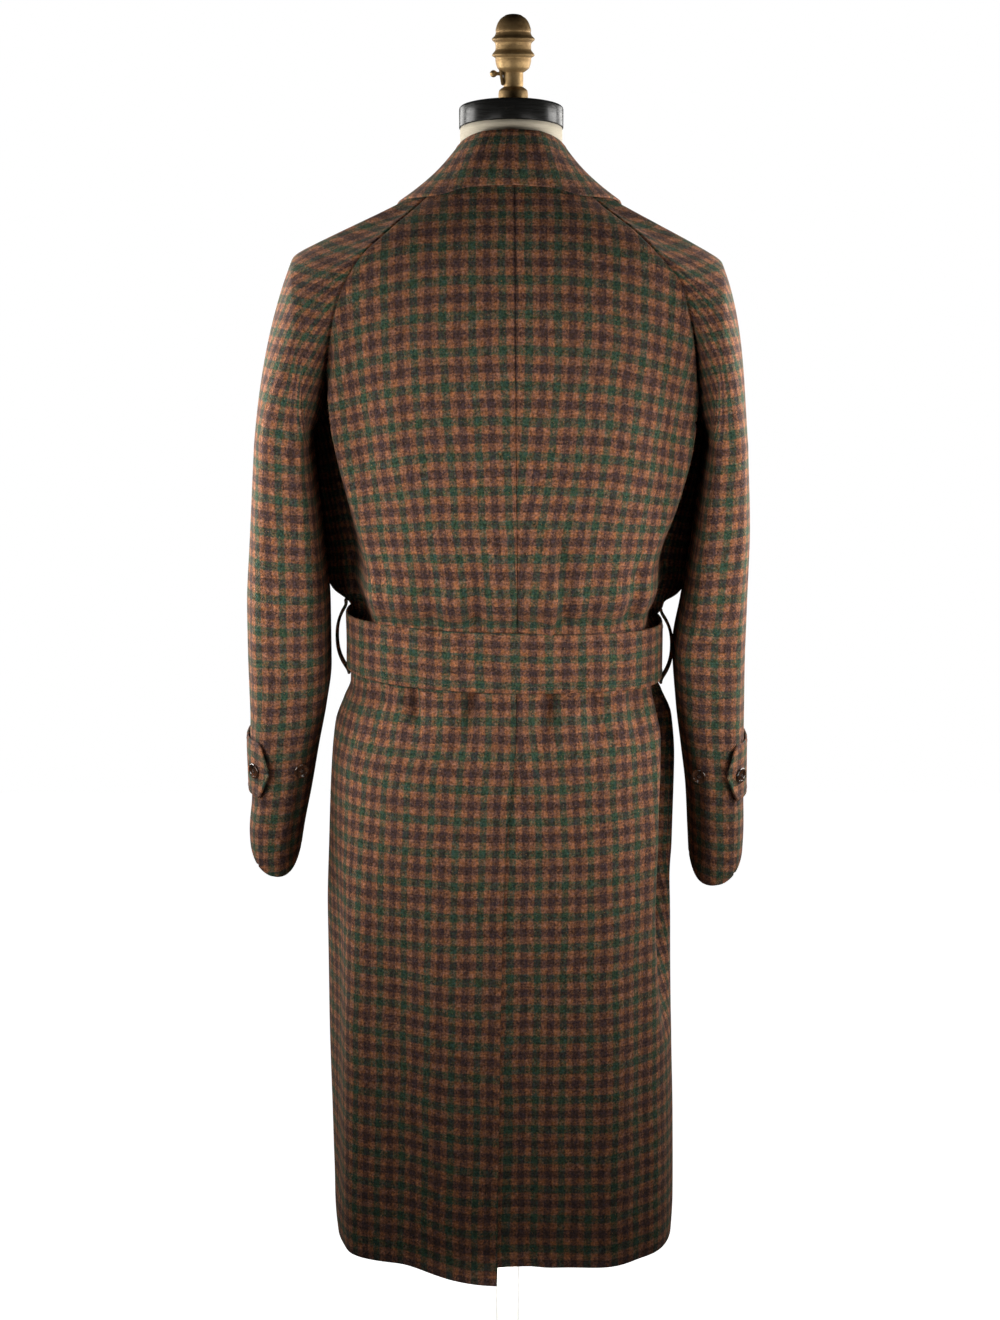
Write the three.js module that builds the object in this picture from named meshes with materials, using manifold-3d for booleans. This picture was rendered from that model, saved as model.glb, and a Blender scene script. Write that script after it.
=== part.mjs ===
// Double-breasted belted overcoat on a dress form, in millimetres, +Z up.
// The coat's front faces -Y and the wearer's left is +X. The origin is the
// centre of the stand's underside, on the floor.
import * as THREE from 'three';
import { mergeVertices } from 'three/addons/utils/BufferGeometryUtils.js';
import Module from 'manifold-3d';

// ---------------------------------------------------------------- sizes

const CLOTH = 2.4;          // wall of the wool coating
const SEAM_PULL = 0.2;      // each sewn edge stays this far back from its seam line
const LAYER_GAP = 0.5;      // between a panel and what lies on it
const OVERLAP_RISE = 4.2;   // how far the left front stands off the right one

const HEM_Z = 434;
const UNDERARM_Z = 1335;
const BREAK_Z = 1330;       // where the lapels start to turn back
const GORGE_Z = 1548;       // where the roll lines meet the neckline
const FRONT_EDGE_X = 95;    // reach of each front past the centre
const ROLL_TOP_X = 60;      // roll line at the neckline
const NECK_X = -3;          // centre of the neck

const BELT_WIDTH = 60;
const BELT_WALL = 3;
const BELT_REACH = 1086;    // mean height of the belt's centre line

const BUTTON_RADIUS = 14;
const SLEEVE_BUTTON_RADIUS = 8;

const CUFF_SLANT = 26;      // the cuff is this much lower behind than midway
const CUFF_TURN = 0.38;     // its lowest place lies this far round towards the body

const NECK_RADIUS = 53;
const NECK_TILT = 0.17;     // slope of the neck's top, higher behind
const NECK_TOP_Z = 1618;
const CAP_HEIGHT = 21;
const TORSO_FLOOR_Z = 880;
const FORM_CLEARANCE = 0.7; // between the form and the cloth that rests on it
const POLE_RADIUS = 13;
const BASE_RADIUS = 175;
const BASE_HEIGHT = 18;

// ------------------------------------------------------------ materials

const finish = (color, roughness, metalness = 0) =>
  new THREE.MeshStandardMaterial({ color, roughness, metalness });
const WOOL = finish('#59453a', 0.92);
const WOOL_DARK = finish('#4a3a31', 0.92);
const HORN = finish('#402a1b', 0.35);
const LINEN = finish('#978e7a', 0.85);
const CAP_BLACK = finish('#1c1b1b', 0.25);
const BRASS = finish('#7d6138', 0.38, 1);
const ENAMEL = finish('#e6e6e2', 0.4);
const IRON = finish('#2a2a2b', 0.55, 0.6);

// --------------------------------------------------------------- tables

/** Smooth interpolation that never overshoots, over rows with named columns. */
function table(columns, rows) {
  const at = rows.map((row) => row[0]);
  const curves = columns.slice(1).map((_, i) => monotone(at, rows.map((row) => row[i + 1])));
  return (x) => Object.fromEntries(columns.slice(1).map((name, i) => [name, curves[i](x)]));
}

function monotone(xs, ys) {
  const last = xs.length - 1;
  const secant = xs.slice(1).map((x, i) => (ys[i + 1] - ys[i]) / (x - xs[i]));
  const slope = ys.map((_, i) => {
    if (i === 0) return secant[0];
    if (i === last) return secant[last - 1];
    const [before, after] = [secant[i - 1], secant[i]];
    return before * after <= 0 ? 0 : (2 * before * after) / (before + after);
  });
  return (x) => {
    if (x <= xs[0]) return ys[0];
    if (x >= xs[last]) return ys[last];
    const i = xs.findLastIndex((knot) => knot <= x);
    const step = xs[i + 1] - xs[i];
    const t = (x - xs[i]) / step;
    const bend = step * (t - 1) * t * (slope[i] * (t - 1) + slope[i + 1] * t);
    return ys[i] + (ys[i + 1] - ys[i]) * t * t * (3 - 2 * t) + bend;
  };
}

// Half sizes of the coat's level sections, measured from the axis. A back section
// is a superellipse of exponent squareness, a front one of exponent power.
const bodyRing = table(['z', 'left', 'right', 'back', 'front', 'squareness', 'power'], [
  [414, 187, 181, 152, 160, 3.6, 2.3],
  [470, 193, 184, 150, 159, 3.4, 2.3],
  [560, 195, 183, 148, 157, 3.1, 2.3],
  [680, 197, 180, 146, 155, 2.8, 2.3],
  [790, 197, 180, 143, 153, 2.6, 2.3],
  [870, 194, 181, 141, 150, 2.5, 2.3],
  [950, 190, 182, 137, 145, 2.4, 2.3],
  [1000, 185, 178, 131, 138, 2.4, 2.3],
  [1028, 175, 167, 122, 130, 2.4, 2.3],
  [1046, 168, 161, 117.5, 125.5, 2.4, 2.3],
  [1088, 167, 160, 117, 125, 2.4, 2.3],
  [1124, 168, 161, 118, 126, 2.4, 2.3],
  [1144, 179, 172, 127, 134, 2.4, 2.3],
  [1190, 184, 181, 130, 137, 2.4, 2.3],
  [1260, 191, 191, 129, 133, 2.4, 2.4],
  [1335, 197, 199, 125, 124, 2.4, 2.4],
  [1362, 201, 203, 123, 120, 2.4, 2.4],
  [1410, 211, 212, 118, 112, 2.4, 2.4],
  [1438, 218, 218, 113, 107, 2.4, 2.4],
  [1466, 222, 221, 106, 101, 2.4, 2.4],
  [1494, 211, 211, 98, 94, 2.4, 2.4],
  [1520, 160, 158, 88, 86, 2.4, 2.4],
  [1545, 107, 107, 75, 72, 2.4, 2.4],
  [1568, 77, 80, 62, 56, 2.3, 2.3],
]);

// The raglan seams: reach from the centre at each height.
const raglan = table(['z', 'backLeft', 'backRight', 'front'], [
  [1345, 189.5, 192.5, 190],
  [1362, 188, 192.5, 187],
  [1385, 185, 192, 183],
  [1410, 181, 188.5, 178],
  [1438, 175, 182, 171],
  [1466, 165, 174, 161],
  [1494, 148, 152, 146],
  [1520, 120, 126, 122],
  [1545, 90, 93, 92],
  [1568, 66, 70, 66],
]);

// The centre-back seam, which opens into the vent and drifts aside.
const centreBack = table(['z', 'x'], [
  [430, 12], [732, 8], [895, 3], [970, -4], [1007, -8], [1157, -9], [1357, -7], [1568, -6],
]);
const VENT_TOP_Z = 990;
const VENT_UNDERLAP = 34;

// Sections of the hanging sleeves: outer and inner reach, centre and half depth.
const sleeveRing = {
  left: table(['z', 'out', 'in', 'yc', 'depth'], [
    [820, 281, 233, -44, 62],
    [869, 284, 225, -39, 64],
    [917, 279.5, 215, -32, 67],
    [965, 279.5, 206, -26, 69],
    [1012, 277.5, 196.5, -20, 72],
    [1059, 277.5, 190, -15, 74],
    [1129, 276.5, 189.5, -9, 77],
    [1195, 271.5, 194.5, -4, 79],
    [1300, 263.5, 204, 0, 80],
  ]),
  right: table(['z', 'out', 'in', 'yc', 'depth'], [
    [812, 257.5, 203, -44, 62],
    [869, 259.5, 199, -38, 64],
    [917, 257.5, 195.5, -31, 67],
    [965, 256, 189, -26, 69],
    [1012, 254.5, 182.5, -20, 71],
    [1082, 253, 177, -12, 74],
    [1129, 253, 184, -8, 76],
    [1195, 253.5, 194, -4, 78],
    [1300, 248.5, 207, 0, 79],
  ]),
};
const ARM_TOP_Z = 1300;
const CUFF_Z = { left: 854, right: 844 };

// The ring over the shoulder between the raglan seam and the arm.
const NECK_SIDE_Z = { left: 1556, right: 1552 };
const SHOULDER = {
  left: { outX: 221, outZ: 1489, inX: 202, inZ: 1320, depth: 85 },
  right: { outX: 219, outZ: 1485, inX: 205, inZ: 1320, depth: 85 },
};

// ------------------------------------------------------------- surfaces

const V = (x, y, z) => new THREE.Vector3(x, y, z);
const RAD = Math.PI / 180;
const clamp01 = (t) => Math.min(1, Math.max(0, t));
const lerp = (a, b, t) => a + (b - a) * t;
const smooth = (t) => clamp01(t) ** 2 * (3 - 2 * clamp01(t));
const range = (count) => Array.from({ length: count }, (_, i) => i);
const steps = (count) => range(count + 1).map((i) => i / count);

/** Point of the coat's surface; angle 0 is the centre back, +90 degrees the left side. */
function bodyPoint(angle, z) {
  const ring = bodyRing(z);
  const [s, c] = [Math.sin(angle), Math.cos(angle)];
  const across = s >= 0 ? ring.left : ring.right;
  const deep = c >= 0 ? ring.back : ring.front;
  const bow = 2 / (c >= 0 ? ring.squareness : ring.power);
  return V(Math.sign(s) * across * Math.abs(s) ** bow, Math.sign(c) * deep * Math.abs(c) ** bow, z);
}

function bodyNormal(angle, z) {
  const [turn, rise] = [0.01, 2];
  const around = bodyPoint(angle + turn, z).sub(bodyPoint(angle - turn, z));
  const upward = bodyPoint(angle, z + rise).sub(bodyPoint(angle, z - rise));
  return upward.cross(around).normalize();
}

/** A point on the coat, moved out along the surface's normal. */
function onBody(angle, z, lift = 0) {
  const normal = bodyNormal(angle, z);
  return { point: bodyPoint(angle, z).addScaledVector(normal, lift), normal };
}

/** The angle at which the coat's section reaches x, on its back or its front. */
function angleAt(x, z, onFront = false) {
  const ring = bodyRing(z);
  const reach = Math.min(1, Math.abs(x) / (x >= 0 ? ring.left : ring.right));
  const turn = Math.asin(reach ** ((onFront ? ring.power : ring.squareness) / 2));
  return Math.sign(x || 1) * (onFront ? Math.PI - turn : turn);
}

// ------------------------------------------------------------ geometry

/** Turns the faces outwards, by the sign of the enclosed volume. */
function outward(geometry) {
  const position = geometry.attributes.position;
  const index = geometry.index.array;
  const corner = range(3).map(() => V(0, 0, 0));
  let volume = 0;
  for (let i = 0; i < index.length; i += 3) {
    corner.forEach((vector, k) => vector.fromBufferAttribute(position, index[i + k]));
    volume += corner[0].dot(corner[1].clone().cross(corner[2]));
  }
  if (volume < 0) {
    for (let i = 0; i < index.length; i += 3) [index[i], index[i + 1]] = [index[i + 1], index[i]];
  }
  geometry.computeVertexNormals();
  return geometry;
}

function fromLists(positions, index) {
  const geometry = new THREE.BufferGeometry();
  geometry.setAttribute('position', new THREE.Float32BufferAttribute(positions, 3));
  geometry.setIndex(index);
  return outward(geometry);
}

/** A wall of cloth: a grid of { point, normal }, and the same grid moved inwards. */
function wall(grid, thickness = CLOTH, closed = false) {
  const [rows, columns] = [grid.length, grid[0].length];
  const positions = [0, -thickness].flatMap((depth) => grid.flat().flatMap(
    ({ point, normal }) => point.clone().addScaledVector(normal, depth).toArray()));
  const at = (side, row, column) => (side * rows + row) * columns + (column % columns);
  const index = [];
  const quad = (a, b, c, d) => index.push(a, b, c, a, c, d);
  const spans = closed ? columns : columns - 1;
  const top = rows - 1;
  const end = columns - 1;
  for (let c = 0; c < spans; c++) {
    for (let r = 0; r < top; r++) {
      quad(at(0, r, c), at(0, r, c + 1), at(0, r + 1, c + 1), at(0, r + 1, c));
      quad(at(1, r, c), at(1, r + 1, c), at(1, r + 1, c + 1), at(1, r, c + 1));
    }
    quad(at(0, 0, c), at(1, 0, c), at(1, 0, c + 1), at(0, 0, c + 1));
    quad(at(0, top, c), at(0, top, c + 1), at(1, top, c + 1), at(1, top, c));
  }
  for (let r = 0; r < top && !closed; r++) {
    quad(at(0, r, 0), at(0, r + 1, 0), at(1, r + 1, 0), at(1, r, 0));
    quad(at(0, r, end), at(1, r, end), at(1, r + 1, end), at(0, r + 1, end));
  }
  return fromLists(positions, index);
}

/** Pulls the named edges of a grid back by half a seam gap. */
function trimmed(grid, { first, last, bottom, top }) {
  const pull = ({ point, normal }, next) => {
    const way = next.point.clone().sub(point).normalize();
    return { point: point.clone().addScaledVector(way, SEAM_PULL), normal };
  };
  let rows = grid.map((row) => {
    const copy = [...row];
    if (first) copy[0] = pull(row[0], row[1]);
    if (last) copy[row.length - 1] = pull(row.at(-1), row.at(-2));
    return copy;
  });
  if (bottom) rows = [rows[0].map((edge, i) => pull(edge, rows[1][i])), ...rows.slice(1)];
  if (top) rows = [...rows.slice(0, -1), rows.at(-1).map((edge, i) => pull(edge, rows.at(-2)[i]))];
  return rows;
}

/** A solid through level or tilted rings of equal length, capped at both ends. */
function lofted(rings) {
  const count = rings[0].length;
  const positions = rings.flat().flatMap((point) => point.toArray());
  const index = [];
  for (let r = 0; r < rings.length - 1; r++) {
    for (let c = 0; c < count; c++) {
      const [a, b] = [r * count + c, r * count + ((c + 1) % count)];
      index.push(a, b, b + count, a, b + count, a + count);
    }
  }
  [0, rings.length - 1].forEach((r) => {
    const hub = positions.length / 3;
    const centre = rings[r].reduce((sum, point) => sum.add(point), V(0, 0, 0)).divideScalar(count);
    positions.push(...centre.toArray());
    for (let c = 0; c < count; c++) {
      const [a, b] = [r * count + c, r * count + ((c + 1) % count)];
      index.push(...(r === 0 ? [hub, b, a] : [hub, a, b]));
    }
  });
  return fromLists(positions, index);
}

/** A turned piece about +Z from [radius, height] pairs that start and end on the axis. */
function turned(profile, segments) {
  const points = profile.map(([radius, height]) => new THREE.Vector2(radius, height));
  const geometry = new THREE.LatheGeometry(points, segments).rotateX(Math.PI / 2);
  geometry.deleteAttribute('normal');
  geometry.deleteAttribute('uv');
  return outward(mergeVertices(geometry, 1e-3));
}

const wasm = await Module();
wasm.setup();

function toSolid(geometry) {
  const bare = geometry.clone();
  bare.deleteAttribute('normal');
  bare.deleteAttribute('uv');
  const merged = mergeVertices(bare, 1e-4);
  return new wasm.Manifold(new wasm.Mesh({
    numProp: 3,
    vertProperties: Float32Array.from(merged.attributes.position.array),
    triVerts: Uint32Array.from(merged.index.array),
  }));
}

function fromSolid(solid) {
  const mesh = solid.getMesh();
  return fromLists(Array.from(mesh.vertProperties), Array.from(mesh.triVerts));
}

const coat = new THREE.Group();

function add(name, geometry, material) {
  const mesh = new THREE.Mesh(geometry, material);
  mesh.name = name;
  coat.add(mesh);
  return mesh;
}

/** Stands a piece made about +Z on a surface, its axis along the normal. */
function seat(mesh, { point, normal }, lift) {
  mesh.position.copy(point).addScaledVector(normal, lift);
  mesh.quaternion.setFromUnitVectors(V(0, 0, 1), normal);
  return mesh;
}

// --------------------------------------------------------- back panels

const SKIRT_ROWS = [HEM_Z, 520, 610, 700, 790, 870, 930, 970];
const WAIST_ROWS = [VENT_TOP_Z, 1010, 1028, 1046, 1088, 1124, 1144, 1190, 1240, 1290];
const SEAM_ROWS = [UNDERARM_Z, 1345, 1362, 1385, 1410, 1438, 1466, 1494, 1520, 1545, 1568];
const BODY_ROWS = [...SKIRT_ROWS, ...WAIST_ROWS, ...SEAM_ROWS];
const SKIRT_FADE = 400;     // height over which an uneven hem evens out
const CORNER_DROOP = 20;    // how far the vent's top corner hangs below the hem
const CORNER_REACH = 110;   // how far from the vent its corner pulls the hem down

/** Where a panel ends at this height: the side seam, or the raglan seam above it. */
function outerAngle(z, side, onFront) {
  if (z <= UNDERARM_Z) return side * Math.PI / 2;
  const seam = raglan(z);
  const back = side > 0 ? seam.backLeft : seam.backRight;
  return angleAt(side * (onFront ? seam.front : back), z, onFront);
}

/** The left back: its free edge is the vent's upper layer, with a hanging corner. */
function leftBackGrid() {
  return BODY_ROWS.map((z) => steps(9).map((t) => {
    const start = angleAt(centreBack(z).x, z);
    const angle = lerp(start, outerAngle(z, 1, false), t);
    const reach = bodyPoint(angle, z).x - centreBack(HEM_Z).x;
    const droop = CORNER_DROOP * smooth(1 - reach / CORNER_REACH);
    return onBody(angle, z - droop * clamp01(1 - (z - HEM_Z) / SKIRT_FADE));
  }));
}

/** The right back, whose vent extension runs on under the left back. */
function rightBackGrid() {
  const under = -(CLOTH + LAYER_GAP + 0.2);
  return BODY_ROWS.map((z) => {
    const edge = centreBack(z).x;
    const vented = z <= VENT_TOP_Z;
    const vents = z < VENT_TOP_Z;
    const first = [
      [vents ? edge + VENT_UNDERLAP : edge - 0.7, vented ? under : 0],
      [edge - (vents ? 2 : 3), vented ? under : 0],
      [edge - 14, 0],
    ];
    const start = angleAt(edge - 24, z);
    const end = outerAngle(z, -1, false);
    return [
      ...first.map(([x, lift]) => onBody(angleAt(x, z), z, lift)),
      ...steps(8).map((t) => onBody(lerp(start, end, t), z)),
    ];
  });
}

add('back_left', wall(trimmed(leftBackGrid(), { first: true, last: true, top: true })), WOOL);
add('back_right', wall(trimmed(rightBackGrid(), { first: true, last: true, top: true })), WOOL);

// -------------------------------------------------------- front panels

const rollReach = (z) => lerp(-FRONT_EDGE_X, ROLL_TOP_X, (z - BREAK_Z) / (GORGE_Z - BREAK_Z));
const frontEdge = (z) => (z <= BREAK_Z ? -FRONT_EDGE_X : rollReach(z));

/** How far the left front stands off, so that it lies over the right front. */
const frontLift = (x, z) => (
  OVERLAP_RISE * (1 - smooth((x - 100) / 25)) * (1 - smooth((z - 1430) / 70))
);

const UNDER_SINK = 0.8;     // how far the right front lies back under the left one

/** A front, drawn for the left side; the right one is its reflection underneath. */
function frontGrid(side) {
  return BODY_ROWS.map((z) => steps(10).map((t) => {
    const neckDrop = z > 1545 ? lerp(10, z - GORGE_Z, t) : 0;
    const level = z - neckDrop;
    const start = outerAngle(z, side, true);
    const edge = angleAt(side * frontEdge(level), level, true);
    const end = edge * side < 0 ? edge + side * 2 * Math.PI : edge;
    const angle = lerp(start, end, t);
    const { x } = bodyPoint(angle, level);
    return onBody(angle, level, side > 0 ? frontLift(x, level) : -UNDER_SINK * smooth((x + 100) / 40));
  }));
}

add('front_left', wall(trimmed(frontGrid(1), { first: true, top: true })), WOOL);
add('front_right', wall(trimmed(frontGrid(-1), { first: true, top: true })), WOOL);

/** A turned-back lapel between its inner and outer edges, each [x, z] at both ends. */
function lapel(side, inner, outer, bow, lift) {
  const grid = steps(8).map((v) => steps(4).map((w) => {
    const bulge = bow * 4 * v * (1 - v) * w;
    const x = lerp(lerp(inner[0][0], inner[1][0], v), lerp(outer[0][0], outer[1][0], v), w) + bulge;
    const z = lerp(lerp(inner[0][1], inner[1][1], v), lerp(outer[0][1], outer[1][1], v), w) - bulge;
    const under = side > 0 ? frontLift(x, z) : 0;
    return onBody(angleAt(side * x, z, true), z, under + lift);
  }));
  return wall(grid);
}

const LAPEL_LIFT = 2 * CLOTH + LAYER_GAP;
const PEAK = [126, 1498];
add('lapel_left', lapel(1, [[-FRONT_EDGE_X + 2, BREAK_Z + 4], [ROLL_TOP_X - 1, GORGE_Z - 3]],
  [[-FRONT_EDGE_X + 8, BREAK_Z + 2], PEAK], 8, LAPEL_LIFT), WOOL_DARK);
add('lapel_right', lapel(-1, [[4, 1470], [ROLL_TOP_X - 1, GORGE_Z - 3]],
  [[34, 1428], PEAK], 4, LAPEL_LIFT - 2), WOOL_DARK);

// ------------------------------------------------------------- sleeves

const SIDES = { left: 1, right: -1 };

/** Mixes two places by a cubic with end directions. */
function hermite(from, fromWay, to, toWay, t) {
  const [t2, t3] = [t * t, t * t * t];
  return from.clone().multiplyScalar(2 * t3 - 3 * t2 + 1)
    .addScaledVector(fromWay, t3 - 2 * t2 + t)
    .addScaledVector(to, 3 * t2 - 2 * t3)
    .addScaledVector(toWay, t3 - t2);
}

/** Point of a sleeve's section; turn 0 faces the body, 90 degrees back, 180 out. */
function armPoint(which, turn, z) {
  const ring = sleeveRing[which](z);
  const across = (ring.out - ring.in) / 2;
  const bow = 2 / 2.2;
  const [c, s] = [Math.cos(turn), Math.sin(turn)];
  const x = (ring.out + ring.in) / 2 - across * Math.sign(c) * Math.abs(c) ** bow;
  return V(SIDES[which] * x, ring.yc + ring.depth * Math.sign(s) * Math.abs(s) ** bow, z);
}

function shoulderPoint(which, turn) {
  const { outX, outZ, inX, inZ, depth } = SHOULDER[which];
  const x = lerp(inX, outX, (1 - Math.cos(turn)) / 2);
  const z = lerp(inZ, outZ, (1 - Math.cos(turn)) / 2);
  return V(SIDES[which] * x, depth * Math.sin(turn), z);
}

/** The raglan seam from the underarm up the back, over the neck and down the front. */
function raglanLoop(which) {
  const side = SIDES[which];
  const back = SEAM_ROWS.map((z) => onBody(outerAngle(z, side, false), z));
  const front = SEAM_ROWS.map((z) => {
    const level = z > 1545 ? z - 10 : z;
    return onBody(outerAngle(z, side, true), level);
  });
  const neck = { point: V(side * 79 + NECK_X / 2, 0, NECK_SIDE_Z[which]), normal: V(side * 0.5, 0, 0.87) };
  const underarm = { ...back[0], point: back[0].point.clone().add(V(side * 1.2, 0, 0)) };
  return [underarm, ...back.slice(1), neck, ...front.slice(1).reverse()];
}

const SHOULDER_SLOPE = 31 * RAD;
const ARM_ROWS = [1235, 1160, 1080, 986, 919, 870];

/** The whole sleeve as rows around it, from the raglan seam down to the cuff. */
function sleevePoints(which) {
  const side = SIDES[which];
  const loop = raglanLoop(which).map(({ point }) => point);
  const down = V(0, 0, -1);
  const turnOf = (k) => (k / loop.length) * 2 * Math.PI;
  const blend = (t) => (row) => loop.map((start, k) => row(start, turnOf(k), t));
  const upper = (start, turn, t) => {
    const mid = shoulderPoint(which, turn);
    const top = (1 - Math.cos(turn)) / 2;
    const span = start.distanceTo(mid);
    const slope = lerp(70 * RAD, SHOULDER_SLOPE, smooth(top * 1.4));
    const flat = mid.clone().sub(start).setZ(0).normalize();
    const away = flat.multiplyScalar(Math.cos(slope)).addScaledVector(down, Math.sin(slope));
    const over = V(side * (0.12 + 0.3 * top), 0, -1).normalize();
    return hermite(start, away.multiplyScalar(span), mid, over.multiplyScalar(span * 0.25), t);
  };
  const lower = (_, turn, t) => {
    const mid = shoulderPoint(which, turn);
    const end = armPoint(which, turn, ARM_TOP_Z);
    const top = (1 - Math.cos(turn)) / 2;
    const span = mid.distanceTo(end);
    const over = V(side * (0.12 + 0.3 * top), 0, -1).normalize();
    return hermite(mid, over.multiplyScalar(span), end, V(side * 0.1, 0, -1).multiplyScalar(span), t);
  };
  const cuff = loop.map((_, k) => {
    const z = CUFF_Z[which] - CUFF_SLANT * Math.sin(turnOf(k) + CUFF_TURN);
    return armPoint(which, turnOf(k), z);
  });
  return [
    loop,
    ...[1 / 3, 2 / 3].map((t) => blend(t)(upper)),
    ...[0, 1 / 2].map((t) => blend(t)(lower)),
    ...[ARM_TOP_Z, ...ARM_ROWS].map((z) => loop.map((_, k) => armPoint(which, turnOf(k), z))),
    cuff,
  ];
}

/** Gives each point of a closed grid its outward normal, from its neighbours. */
function closedNormals(points, side) {
  const count = points[0].length;
  return points.map((row, r) => row.map((point, c) => {
    const below = points[Math.min(r + 1, points.length - 1)][c];
    const above = points[Math.max(r - 1, 0)][c];
    const around = row[(c + 1) % count].clone().sub(row[(c + count - 1) % count]);
    const normal = around.cross(below.clone().sub(above)).normalize().multiplyScalar(side);
    return { point, normal };
  }));
}

for (const [which, side] of Object.entries(SIDES)) {
  const grid = closedNormals(sleevePoints(which), side);
  raglanLoop(which).forEach(({ point, normal }, k) => {
    const sewnFlat = smooth((point.z - UNDERARM_Z - 10) / 60);
    grid[0][k].normal.lerp(normal, sewnFlat).normalize();
  });
  const half = grid[0].length / 2;
  const backHalf = grid.map((row) => row.slice(0, half + 1));
  const frontHalf = grid.map((row) => [...row.slice(half), row[0]]);
  const seams = { first: true, last: true, bottom: true };
  add(`sleeve_${which}_back`, wall(trimmed(backHalf, seams)), WOOL);
  add(`sleeve_${which}_front`, wall(trimmed(frontHalf, seams)), WOOL);
}

// -------------------------------------------------------------- collar

// The collar's fold and outer edge by the angle round the neck from the centre back.
const collarLine = table(
  ['turn', 'foldX', 'foldY', 'foldZ', 'edgeX', 'edgeY', 'edgeZ', 'footX', 'footY', 'footZ'], [
    [0, 0, 63, 1613, 0, 80, 1564, 0, 61.5, 1568.8],
    [25, 26, 57.5, 1611.5, 38, 77, 1562, 29, 56, 1568.8],
    [50, 45, 42, 1606, 74, 66, 1554, 53, 43, 1568.6],
    [75, 56, 18, 1598, 100, 42, 1551.5, 74, 19, 1566],
    [100, 58.5, -12, 1588, 112, 4, 1547, 77, -12, 1561],
    [125, 59.5, -42, 1572, 117, -44, 1538, 72, -38, 1558.5],
    [150, 61, -69, 1554, 107, -79, 1526.5, 61, -61, 1551.5],
  ]);
const COLLAR_REACH = 150;
const LEAF_BELLY = { back: 3, side: -1.5 };    // bow of the leaf between fold and edge
const COLLAR_COLUMNS = 20;

/** The collar's lines at a signed angle; the wearer's left is positive. */
function collarAt(turn) {
  const line = collarLine(Math.abs(turn));
  const side = Math.sign(turn);
  return {
    fold: V(NECK_X + side * line.foldX, line.foldY, line.foldZ),
    edge: V(NECK_X * 0.4 + side * line.edgeX, line.edgeY, line.edgeZ),
    foot: V(NECK_X + side * line.footX, line.footY, line.footZ),
  };
}

const collarTurns = steps(COLLAR_COLUMNS).map((t) => lerp(-COLLAR_REACH, COLLAR_REACH, t));

/** The leaf rows from the fold down to the outer edge. */
const leafPoints = [0, 0.22, 0.6, 1].map((w) => collarTurns.map((turn) => {
  const { fold, edge } = collarAt(turn);
  const out = V(Math.sin(turn * RAD), Math.cos(turn * RAD), 0.3).normalize();
  const belly = lerp(LEAF_BELLY.back, LEAF_BELLY.side, smooth(Math.abs(turn) / 80));
  return fold.clone().lerp(edge, w).addScaledVector(out, belly * 4 * w * (1 - w));
}));

/** Normals of an open grid, whose rows run from the left side to the right. */
function openNormals(points, sign) {
  const [rows, columns] = [points.length - 1, points[0].length - 1];
  return points.map((row, r) => row.map((point, c) => {
    const along = row[Math.min(c + 1, columns)].clone().sub(row[Math.max(c - 1, 0)]);
    const down = points[Math.min(r + 1, rows)][c].clone().sub(points[Math.max(r - 1, 0)][c]);
    return { point, normal: along.cross(down).normalize().multiplyScalar(sign) };
  }));
}

const leafGrid = openNormals(leafPoints, -1);
add('collar_leaf', wall(leafGrid), WOOL_DARK);

/** The stand, from the neckline up to just inside the leaf's fold. */
const standPoints = [0, 0.5, 1].map((w) => collarTurns.map((turn) => {
  const { fold, foot } = collarAt(turn);
  const inwards = V(-Math.sin(turn * RAD), -Math.cos(turn * RAD), 0);
  const top = fold.addScaledVector(inwards, CLOTH + LAYER_GAP);
  top.z = Math.max(top.z - 2, foot.z + 2);
  return foot.lerp(top, w);
}));
add('collar_stand', wall(openNormals(standPoints, 1)), WOOL_DARK);

// ---------------------------------------------------------------- belt

const beltCentre = (angle) => BELT_REACH + 5.5 * Math.sin(angle) + 2 * Math.cos(angle);
const BELT_SEAT = 1.8;      // slack between the belt and the gathered cloth

/** A point on the belt's course: v is the height across it, lift the stand-off. */
function onBelt(angle, v, lift) {
  const { point, normal } = onBody(angle, BELT_REACH, 0);
  const level = normal.setZ(0).normalize();
  const front = Math.cos(angle) < 0 ? OVERLAP_RISE : 0;
  const wrap = smooth((point.x + FRONT_EDGE_X + 34) / 30) * (1 - smooth((point.x - 100) / 30));
  point.addScaledVector(level, BELT_SEAT + front * wrap + lift);
  point.z = beltCentre(angle) + v;
  return { point, normal: level };
}

const HALF_BELT = BELT_WIDTH / 2;
const beltGrid = (angles, heights, lift) => heights.map((v) => angles.map((a) => onBelt(a, v, lift)));
const belt = beltGrid(range(64).map((i) => (i / 64) * 2 * Math.PI), [-HALF_BELT, HALF_BELT], BELT_WALL);
add('belt', wall(belt, BELT_WALL, true), WOOL);

/** The free end: over the buckle's bar, then flat on the belt, with a pointed tip. */
const END_START_X = -14;
const END_TIP_X = 138;
const BAR_THICKNESS = 3;
const beltEnd = [-1, 0, 1].map((side) => steps(12).map((t) => {
  const x = lerp(END_START_X, END_TIP_X, t);
  const half = (HALF_BELT - 1) * Math.min(1, 0.2 + (END_TIP_X - x) / 24);
  const hump = (BAR_THICKNESS + LAYER_GAP) * (1 - smooth((Math.abs(x) - 8) / 16));
  return onBelt(angleAt(x, BELT_REACH, true), side * half, 2 * BELT_WALL + LAYER_GAP + hump);
}));
add('belt_end', wall(beltEnd, BELT_WALL - 0.4), WOOL);

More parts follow.
